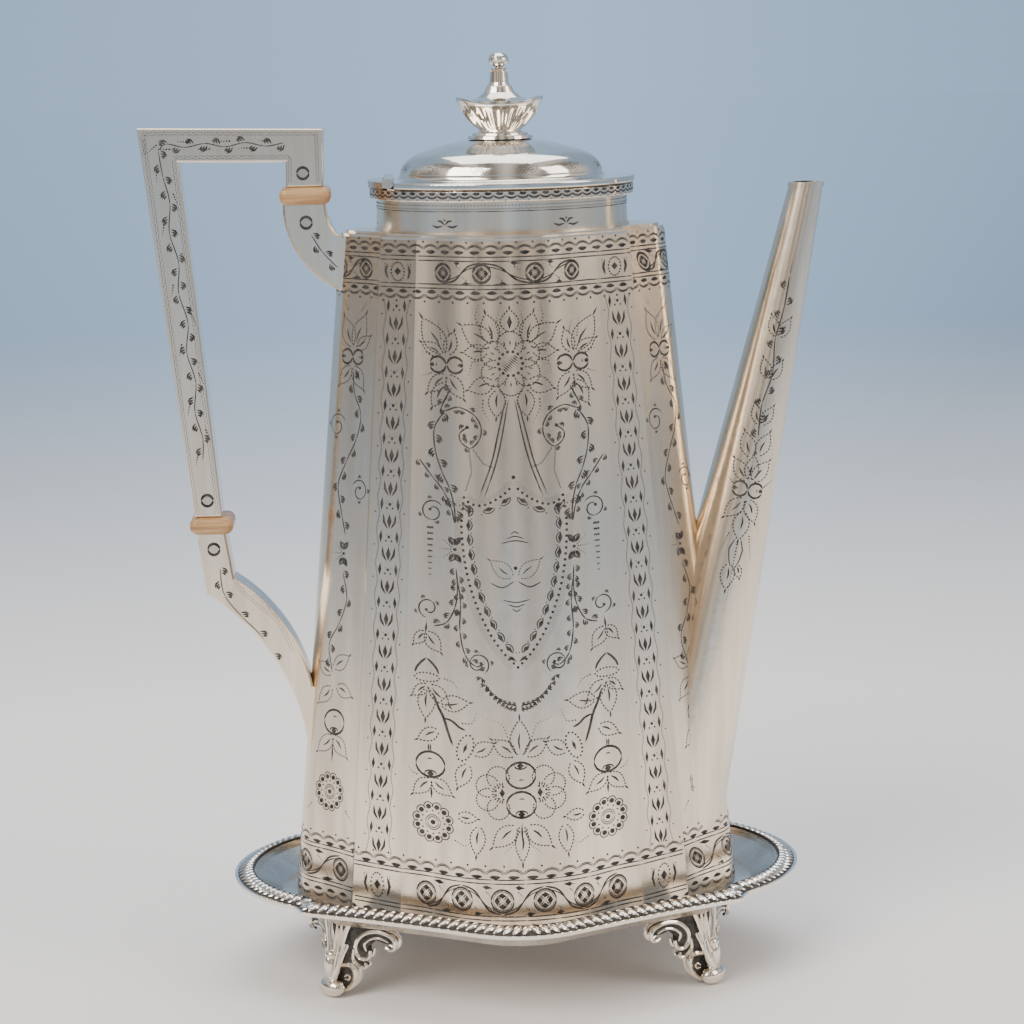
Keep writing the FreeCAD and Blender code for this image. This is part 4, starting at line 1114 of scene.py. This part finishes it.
def spout_spray():
    d = Drawing()
    pair = 72.4 + 147.2j
    lean = 78
    way = turn(lean)
    berries(d, pair, 2.3, lean - 90)
    for root, tip in ((2.8, 10.5), (2.6 + 0.8j, 8.6 + 5.6j), (2.6 - 0.8j, 9.4 - 5.0j),
                      (-2.8 + 0.6j, -9.2 + 5.4j), (-2.8 - 0.6j, -9.6 - 4.0j), (-6.6, -15.6),
                      (9.8 + 1.0j, 17.2 + 4.2j), (10.6 - 1.0j, 18.0 - 3.4j)):
        leaf(d, pair + way * root, pair + way * tip, 0.27)
    vine(d, [pair + way * p for p in (16.0, 26 + 0.8j, 36 - 0.6j, 46 + 0.6j, 56 - 0.2j, 66)], 0.9, 5.2)
    for at in (20.0, 34.0, 47.0):
        for side in (1, -1):
            leaf(d, pair + way * (at + 0.4j * side), pair + way * (at + 6.0 + 2.9j * side), 0.25)
    d.fade([pair + way * p for p in (67.0, 72.0)], 0.9, 0.3)
    for bend, tip in ((2.2j, -31 + 1.0j), (-2.0j, -27 - 2.6j)):
        stalk = (-15 + bend * 0.4, -18.5 + bend, -21.5 + bend * 0.8, -24 + 0.4 * bend)
        d.cut([pair + way * p for p in stalk], 0.26)
        leaf(d, pair + way * (-23.0 + bend * 0.6), pair + way * tip, 0.26)
    d.fade([pair + way * p for p in (-17, -22, -28, -38)], 1.0, 0.3)
    for side in (1, -1):
        d.fade([pair + way * (1.5 + 5.0j * side), pair + way * (3.6 + 7.2j * side)], 0.85, 0.28)
        d.fade([pair + way * (-14 + 3.2j * side), pair + way * (-21 + 5.0j * side)], 0.9, 0.28)
    return d


spout_surface = surface("spout")
spray = spout_spray()
engrave("engraved_spout_front", "pot", spout_surface, facing(-90), spray)
engrave("engraved_spout_back", "pot", spout_surface, facing(90), spray.moved(flip=True))


# ---------------------------------------------------------------- engraving, neck and lid
# The collar has half-moons over a line of pits, the neck a ruled line of fine pricks with
# sprigs on the shoulder, and the dome a ring of leaves at its foot.

collar_surface = surface("collar_band")
collar_walk = around(collar_surface, 239.1)
collar = Drawing()
half_moons(collar, collar_walk.length, 239.9, 3.4, -1, 0.22)
ruled(collar, collar_walk.length, 240.6, 0.2)
engrave("engraved_collar", "pot", collar_surface, collar_walk, collar)

neck_surface = surface("neck_collar")
neck_walk = around(neck_surface, 233.0)
neck = Drawing()
half = neck_walk.length / 2
neck.row([complex(-half, 236.4), complex(half, 236.4)], 1.0, 0.2)
neck.wiggle([complex(-half, 235.4), complex(half, 235.4)], 0.16, 0.3, 0.8)
ruled(neck, neck_walk.length, 234.7, 0.16)
for k in range(6):
    place = complex(-half + (k + 0.5) * neck_walk.length / 6, 230.6)
    for side in (1, -1):
        neck.nick(place, place + complex(2.6 * side, 1.5), 0.4, 0.2 * side)
        neck.nick(place + 0.4 * side, place + complex(4.4 * side, 0.2), 0.4, -0.14 * side)
    neck.prick(place + 1.6j, 0.34)
engrave("engraved_neck", "pot", neck_surface, neck_walk, neck)

dome_surface = surface("lid_dome")
dome_walk = around(dome_surface, 246.0)
dome = Drawing()
for k in range(12):
    place = complex(-dome_walk.length / 2 + (k + 0.5) * dome_walk.length / 12, 245.2)
    for tip in (2.6j, 2.6 + 1.8j, -2.6 + 1.8j):
        leaf(dome, place + 0.15 * tip, place + tip, 0.28, 0.8, 0.16)
engrave("engraved_dome", "lid", dome_surface, dome_walk, dome)


# ---------------------------------------------------------------- gadrooned border
# A die-rolled border soldered on the stand's ledge: slanting rounded lobes side by side, with
# painted shade in black between them, inside a plain bright outer edge.

LOBE_PITCH = 3.05      # from one lobe to the next, in millimetres
LOBE_LONG = 4.9
LOBE_WIDE = 0.8        # width of a lobe as a share of the pitch
LOBE_SLANT = 24.0      # degrees away from square to the edge
EDGE_THICK = 1.0       # height of the plain outer edge


def model_lobe():
    """One egg-shaped lobe, cut flat underneath, a millimetre long each way."""
    clear_selection()
    bpy.ops.mesh.primitive_uv_sphere_add(segments=10, ring_count=8, radius=1, rotation=(0, math.pi / 2, 0))
    lobe = bpy.context.object
    bpy.ops.object.transform_apply()
    bpy.ops.object.mode_set(mode="EDIT")
    bpy.ops.mesh.select_all(action="SELECT")
    bpy.ops.mesh.bisect(plane_co=(0, 0, -0.05), plane_no=(0, 0, 1), clear_inner=True, use_fill=True)
    select_where(lobe, lambda co: co.x < -0.3)
    bpy.ops.transform.resize(value=(1, 0.72, 0.8))
    return mesh_of(lobe)


def solid_from(name, places, faces, finish, body, smooth=35):
    """A finished piece on a body, from its corner places and faces."""
    mesh = bpy.data.meshes.new(name)
    mesh.from_pydata([tuple(p) for p in places], [], [list(f) for f in faces])
    piece = bpy.data.objects.new(name, mesh)
    bpy.context.scene.collection.objects.link(piece)
    mesh.materials.append(finish)
    clear_selection()
    piece.select_set(True)
    bpy.context.view_layer.objects.active = piece
    bpy.ops.object.shade_smooth_by_angle(angle=math.radians(smooth))
    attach(piece, body)
    return piece


def rim_line():
    """The stand's outer edge, as flat places an even distance apart."""
    tree = surface("stand_rim")
    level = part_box("stand_rim")[0].z / MM + 0.5
    walk = around(tree, level)
    count = int(round(walk.length / LOBE_PITCH))
    line = []
    for k in range(count):
        start, way = walk(k * walk.length / count, level)
        hit = tree.ray_cast(start, way)[0]
        line.append(complex(hit.x, hit.y) / MM)
    return line


def build_gadroons():
    """Lays the lobes round the sloping border, over a black sheet of painted shade that shows between them.
    """
    line = rim_line()
    corners, triangles = model_lobe()
    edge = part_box("stand_rim")[0].z / MM + EDGE_THICK
    places, faces, inner, outer = [], [], [], []
    for k, at in enumerate(line):
        way = line[(k + 1) % len(line)] - line[k - 1]
        way = way / abs(way)
        inward = 1j * way
        lean = inward * turn(LOBE_SLANT if at.real > AXIS.x / MM else -LOBE_SLANT)
        middle = at + inward * 3.45
        inner.append(at + inward * 6.0)
        outer.append(at + inward * 0.95)
        along_lobe = corners[:, 0] * LOBE_LONG / 2
        across_lobe = corners[:, 1] * LOBE_PITCH * LOBE_WIDE / 2
        flat = middle + lean * (along_lobe - 1j * across_lobe)
        faces += (triangles + len(places)).tolist()
        places += [(p.real * MM, p.imag * MM, (edge + 0.75 + 0.62 * x + 0.95 * h) * MM)
                   for p, (x, _, h) in zip(flat, corners)]
    solid_from("gadroon_lobes", places, faces, bright_silver, "stand")
    count = len(line)
    # A black sheet of painted shade under the lobes, showing in the gaps between them.
    shade_sheet, walls = [], []
    for ring, height in ((outer, -0.2), (outer, 0.08), (inner, 1.5), (inner, 0.3)):
        shade_sheet += [(p.real * MM, p.imag * MM, (edge + height) * MM) for p in ring]
    for k in range(count):
        after = (k + 1) % count
        for lane in range(4):
            a, b = lane * count, ((lane + 1) % 4) * count
            walls.append((a + k, a + after, b + after, b + k))
    solid_from("gadroon_painted_shade", shade_sheet, walls, cut_and_shade_black, "stand", 20)


build_gadroons()


# ---------------------------------------------------------------- cast feet
# Four cast feet soldered under the border. Each is a fluted leaf that narrows to a bead and a
# rolled toe, between two pierced scrolls. The hollows are a black plate of painted shade, the raised edges
# bright.


def bent_wire(points, thick):
    """A round wire through a few places, thinner at both ends, as a mesh."""
    data = bpy.data.curves.new("wire", "CURVE")
    data.dimensions = "3D"
    data.bevel_depth = thick * MM
    data.bevel_resolution = 2
    data.resolution_u = 5
    data.use_fill_caps = True
    spline = data.splines.new("NURBS")
    spline.points.add(len(points) - 1)
    for k, (dot, place) in enumerate(zip(spline.points, points)):
        dot.co = (*(place * MM), 1)
        dot.radius = 0.6 if k in (0, len(points) - 1) else 1.0
    spline.order_u = 3
    spline.use_endpoint_u = True
    wire = bpy.data.objects.new("wire", data)
    bpy.context.scene.collection.objects.link(wire)
    clear_selection()
    wire.select_set(True)
    bpy.context.view_layer.objects.active = wire
    bpy.ops.object.convert(target="MESH")
    return wire


def flat_plate(outline, way, thick):
    """An upright plate: its outline is given along one direction and up."""
    clear_selection()
    bpy.ops.mesh.primitive_circle_add(vertices=len(outline), radius=1, fill_type="NGON")
    plate = bpy.context.object
    side = Vector((-way.y, way.x, 0))
    for vertex, (t, z) in zip(plate.data.vertices, outline):
        vertex.co = (way * t + Vector((0, 0, z)) - side * thick / 2) * MM
    bpy.ops.object.mode_set(mode="EDIT")
    bpy.ops.mesh.select_all(action="SELECT")
    bpy.ops.mesh.extrude_region_move(TRANSFORM_OT_translate={"value": side * thick * MM})
    bpy.ops.mesh.select_all(action="SELECT")
    bpy.ops.mesh.normals_make_consistent(inside=False)
    bpy.ops.object.mode_set(mode="OBJECT")
    return plate


# The curls of a wing and its web of painted shade, as how far out from the middle of the foot and how high.
SCROLL = ((19.6, 16.9), (21.0, 15.9), (23.0, 17.0), (22.8, 19.6), (20.4, 21.0), (17.1, 21.6), (13.4, 20.9),
          (10.6, 18.8), (9.3, 15.9), (9.9, 13.3), (12.0, 12.0), (14.3, 13.2), (14.4, 15.2))
SCROLL_INSIDE = ((20.6, 18.4), (18.2, 19.6), (15.6, 19.3), (13.2, 18.1), (12.1, 16.2), (13.1, 14.9))
SCROLL_LINK = ((8.7, 14.8), (8.2, 12.2), (9.3, 10.6), (11.6, 9.4), (13.2, 9.9), (12.4, 11.2))
TOE_SCROLL = ((4.6, 9.2), (6.4, 10.2), (8.3, 9.6), (9.3, 7.4), (8.8, 4.8), (7.2, 2.6), (4.4, 1.2))
EYE = ((5.2, 5.9), (6.4, 6.9), (7.3, 5.8), (6.3, 4.8), (5.4, 5.2))
SHADE_WEB = ((0, 25.5), (10.0, 25.5), (14.0, 22.4), (18.0, 21.6), (21.6, 20.0), (22.4, 18.2), (19.6, 17.9),
       (16.2, 18.7), (13.4, 16.2), (13.6, 13.0), (10.6, 11.7), (12.6, 9.8), (9.0, 9.4), (8.6, 5.0),
       (6.6, 2.6), (3.0, 1.2), (0, 1.2))
SHADE_WEB_THICK = 2.7
FOOT_TURN = 134            # the leaf's broad way lies across the corner of the stand
FOOT_SPOT = (55.5, 34.0)   # from the middle of the stand to the middle of a foot


def flute(mesh, count, deep, low, high):
    """Pushes every second edge in between two heights, as with a fluting chisel."""
    for vertex in mesh.vertices:
        share = min(1.0, max(0.0, (vertex.co.z / MM - low) / (high - low)))
        angle = math.atan2(vertex.co.y, vertex.co.x)
        sink = 1 - deep * share * (0.5 - 0.5 * math.cos(count * angle))
        vertex.co.x *= sink
        vertex.co.y *= sink


def stacked_rings(sides, rings, name):
    """A form drawn up ring by ring: each ring has half its length, half its width and a height."""
    clear_selection()
    long_r, wide_r, height = rings[0]
    bpy.ops.mesh.primitive_circle_add(vertices=sides, radius=1, fill_type="NGON")
    form = bpy.context.object
    form.name = name
    size = Matrix.Diagonal((long_r * MM, wide_r * MM, 1, 1))
    form.data.transform(Matrix.Translation((0, 0, height * MM)) @ size)
    bpy.ops.object.mode_set(mode="EDIT")
    bpy.ops.mesh.select_all(action="SELECT")
    for a, b in zip(rings, rings[1:]):
        bpy.ops.mesh.extrude_region_move(TRANSFORM_OT_translate={"value": (0, 0, (b[2] - a[2]) * MM)})
        bpy.ops.transform.resize(value=(b[0] / a[0], b[1] / a[1], 1))
    bpy.ops.mesh.select_all(action="SELECT")
    bpy.ops.mesh.normals_make_consistent(inside=False)
    bpy.ops.object.mode_set(mode="OBJECT")
    return form


def turned_by(obj, degrees, shift):
    """Turns a form about the upright and then shifts it by millimetres."""
    about = Matrix.Rotation(math.radians(degrees), 4, "Z")
    obj.data.transform(Matrix.Translation(Vector(shift) * MM) @ about)


def join_as(name, parts):
    clear_selection()
    for part in parts:
        part.select_set(True)
    bpy.context.view_layer.objects.active = parts[0]
    bpy.ops.object.join()
    whole = bpy.context.object
    whole.name = name
    return whole


def model_foot():
    """Bright parts of the foot at the back right, and its black web of painted shade, standing at the origin.
    """
    along_front = Vector((-0.891, 0.454, 0))
    along_end = Vector((0.423, -0.906, 0))
    leaf_form = stacked_rings(84, ((1.7, 1.0, 5.0), (2.3, 1.8, 6.4), (2.6, 2.0, 8.4), (2.9, 2.2, 10.4),
                                   (3.6, 2.6, 13.4), (4.6, 3.0, 16.6), (6.0, 3.6, 19.6), (7.6, 4.2, 22.6),
                                   (9.2, 4.8, 25.6)), "leaf")
    flute(leaf_form.data, 14, 0.30, 10.0, 17.0)
    for vertex in leaf_form.data.vertices:
        vertex.co.y += (vertex.co.z - 6 * MM) * 0.34
    turned_by(leaf_form, FOOT_TURN, (2.2, 2.2, 0))
    bright = [leaf_form]
    for radius, stretch, height, out in ((1.75, 0.9, 12.9, 2.5), (1.5, 2.4, 9.3, 3.1)):
        clear_selection()
        bpy.ops.mesh.primitive_uv_sphere_add(segments=24, ring_count=14, radius=radius * MM)
        bead = bpy.context.object
        bpy.ops.object.mode_set(mode="EDIT")
        bpy.ops.mesh.select_all(action="SELECT")
        bpy.ops.transform.resize(value=(1.1, 0.8, stretch))
        bpy.ops.object.mode_set(mode="OBJECT")
        turned_by(bead, FOOT_TURN, (out, out, height))
        bright.append(bead)
    clear_selection()
    bpy.ops.mesh.primitive_uv_sphere_add(segments=36, ring_count=20, radius=2.95 * MM,
                                         rotation=(0, math.pi / 2, 0))
    toe = bpy.context.object
    bpy.ops.object.transform_apply()
    bpy.ops.object.mode_set(mode="EDIT")
    bpy.ops.mesh.select_all(action="SELECT")
    bpy.ops.transform.resize(value=(1.62, 1.0, 1.0))
    bpy.ops.object.mode_set(mode="OBJECT")
    turned_by(toe, FOOT_TURN, (2.3, 2.3, 2.96))
    bright.append(toe)
    black = []
    for way, scale, start in ((along_front, 1.0, -2.8), (along_end, 1.1, -7.5)):
        side = Vector((-way.y, way.x, 0))
        for line, thick in ((SCROLL, 0.78), (SCROLL_INSIDE, 0.50), (SCROLL_LINK, 0.62), (TOE_SCROLL, 0.95),
                            (EYE, 0.45)):
            for face in (-1, 1):
                shift = side * face * SHADE_WEB_THICK / 2
                places = [way * (t * scale + start) + shift + Vector((0, 0, z)) for t, z in line]
                bright.append(bent_wire(places, thick))
        # The web is a black plate of painted shade in the pierced hollows between the scrolls.
        black.append(flat_plate([(max(t * scale + start, -1.0), z) for t, z in SHADE_WEB], way, SHADE_WEB_THICK))
    return join_as("bright", bright), join_as("black", black)


def fit_under(mesh, tray):
    """Keeps the foot's top just inside the thickness of the tray's sheet."""
    for vertex in mesh.vertices:
        under = tray.ray_cast(Vector((vertex.co.x, vertex.co.y, -0.01)), Vector((0, 0, 1)))[0]
        if under:
            vertex.co.z = min(vertex.co.z, under.z + 0.4 * MM)


def plant_feet():
    """Copies the foot to the four corners, mirrored to suit each."""
    bright, black = model_foot()
    tray = surface("stand_tray", "stand_rim")
    for name, sx, sy in (("front_left", -1, -1), ("front_right", 1, -1),
                         ("back_left", -1, 1), ("back_right", 1, 1)):
        spot = Vector((AXIS.x + sx * FOOT_SPOT[0] * MM, sy * FOOT_SPOT[1] * MM, 0))
        # The black web of each foot is painted shade.
        for form, label, finish in ((bright, "cast_foot_", bright_silver),
                                    (black, "foot_hollow_", cut_and_shade_black)):
            foot = form.copy()
            foot.data = form.data.copy()
            foot.name = label + name
            bpy.context.scene.collection.objects.link(foot)
            foot.data.transform(Matrix.Translation(spot) @ Matrix.Diagonal((sx, sy, 1, 1)))
            if sx * sy < 0:
                foot.data.flip_normals()
            fit_under(foot.data, tray)
            foot.data.materials.clear()
            foot.data.materials.append(finish)
            clear_selection()
            foot.select_set(True)
            bpy.context.view_layer.objects.active = foot
            bpy.ops.object.shade_smooth_by_angle(angle=math.radians(42))
            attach(foot, "stand")
            if label == "cast_foot_":
                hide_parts("stand_foot_" + name)
    for form in (bright, black):
        bpy.data.objects.remove(form)


plant_feet()


# ---------------------------------------------------------------- fluted bowl of the finial
# A small boat of thin silver, chased with flutes that die out below the rim. The rim dips
# in the middle of each side and lifts at both ends.


def build_finial_bowl():
    low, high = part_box("finial_bowl")
    foot_z, rim_z = low.z / MM, high.z / MM
    ratio = 9.4 / 13.2
    outside = ((6.4, 0.0), (6.6, 0.3), (7.5, 1.0), (8.6, 2.0), (9.8, 3.4), (10.9, 4.9), (11.8, 6.4),
               (12.5, 7.8), (13.0, 9.0), (13.15, 9.6), (13.1, 9.9))
    inside = ((12.5, 9.85), (12.2, 9.2), (11.3, 7.9))
    rings = [(r, r * ratio, foot_z + z) for r, z in outside + inside]
    bowl = stacked_rings(112, rings, "fluted_bowl")
    for vertex in bowl.data.vertices:
        height = vertex.co.z / MM - foot_z
        angle = math.atan2(vertex.co.y / ratio, vertex.co.x)
        depth = math.sin(math.pi * min(1.0, max(0.0, height / 7.6))) ** 0.7 * 0.085
        if math.hypot(vertex.co.x, vertex.co.y / ratio) / MM > 6.5 + 0.3 * height:
            sink = 1 - depth * (0.5 - 0.5 * math.cos(28 * angle))
            vertex.co.x *= sink
            vertex.co.y *= sink
        vertex.co.z -= 1.9 * MM * (height / 9.9) ** 2 * math.sin(angle) ** 2
    bowl.data.transform(Matrix.Translation(AXIS))
    bowl.data.materials.append(bright_silver)
    clear_selection()
    bowl.select_set(True)
    bpy.context.view_layer.objects.active = bowl
    bpy.ops.object.shade_smooth_by_angle(angle=math.radians(50))
    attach(bowl, "lid")
    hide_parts("finial_bowl")


build_finial_bowl()
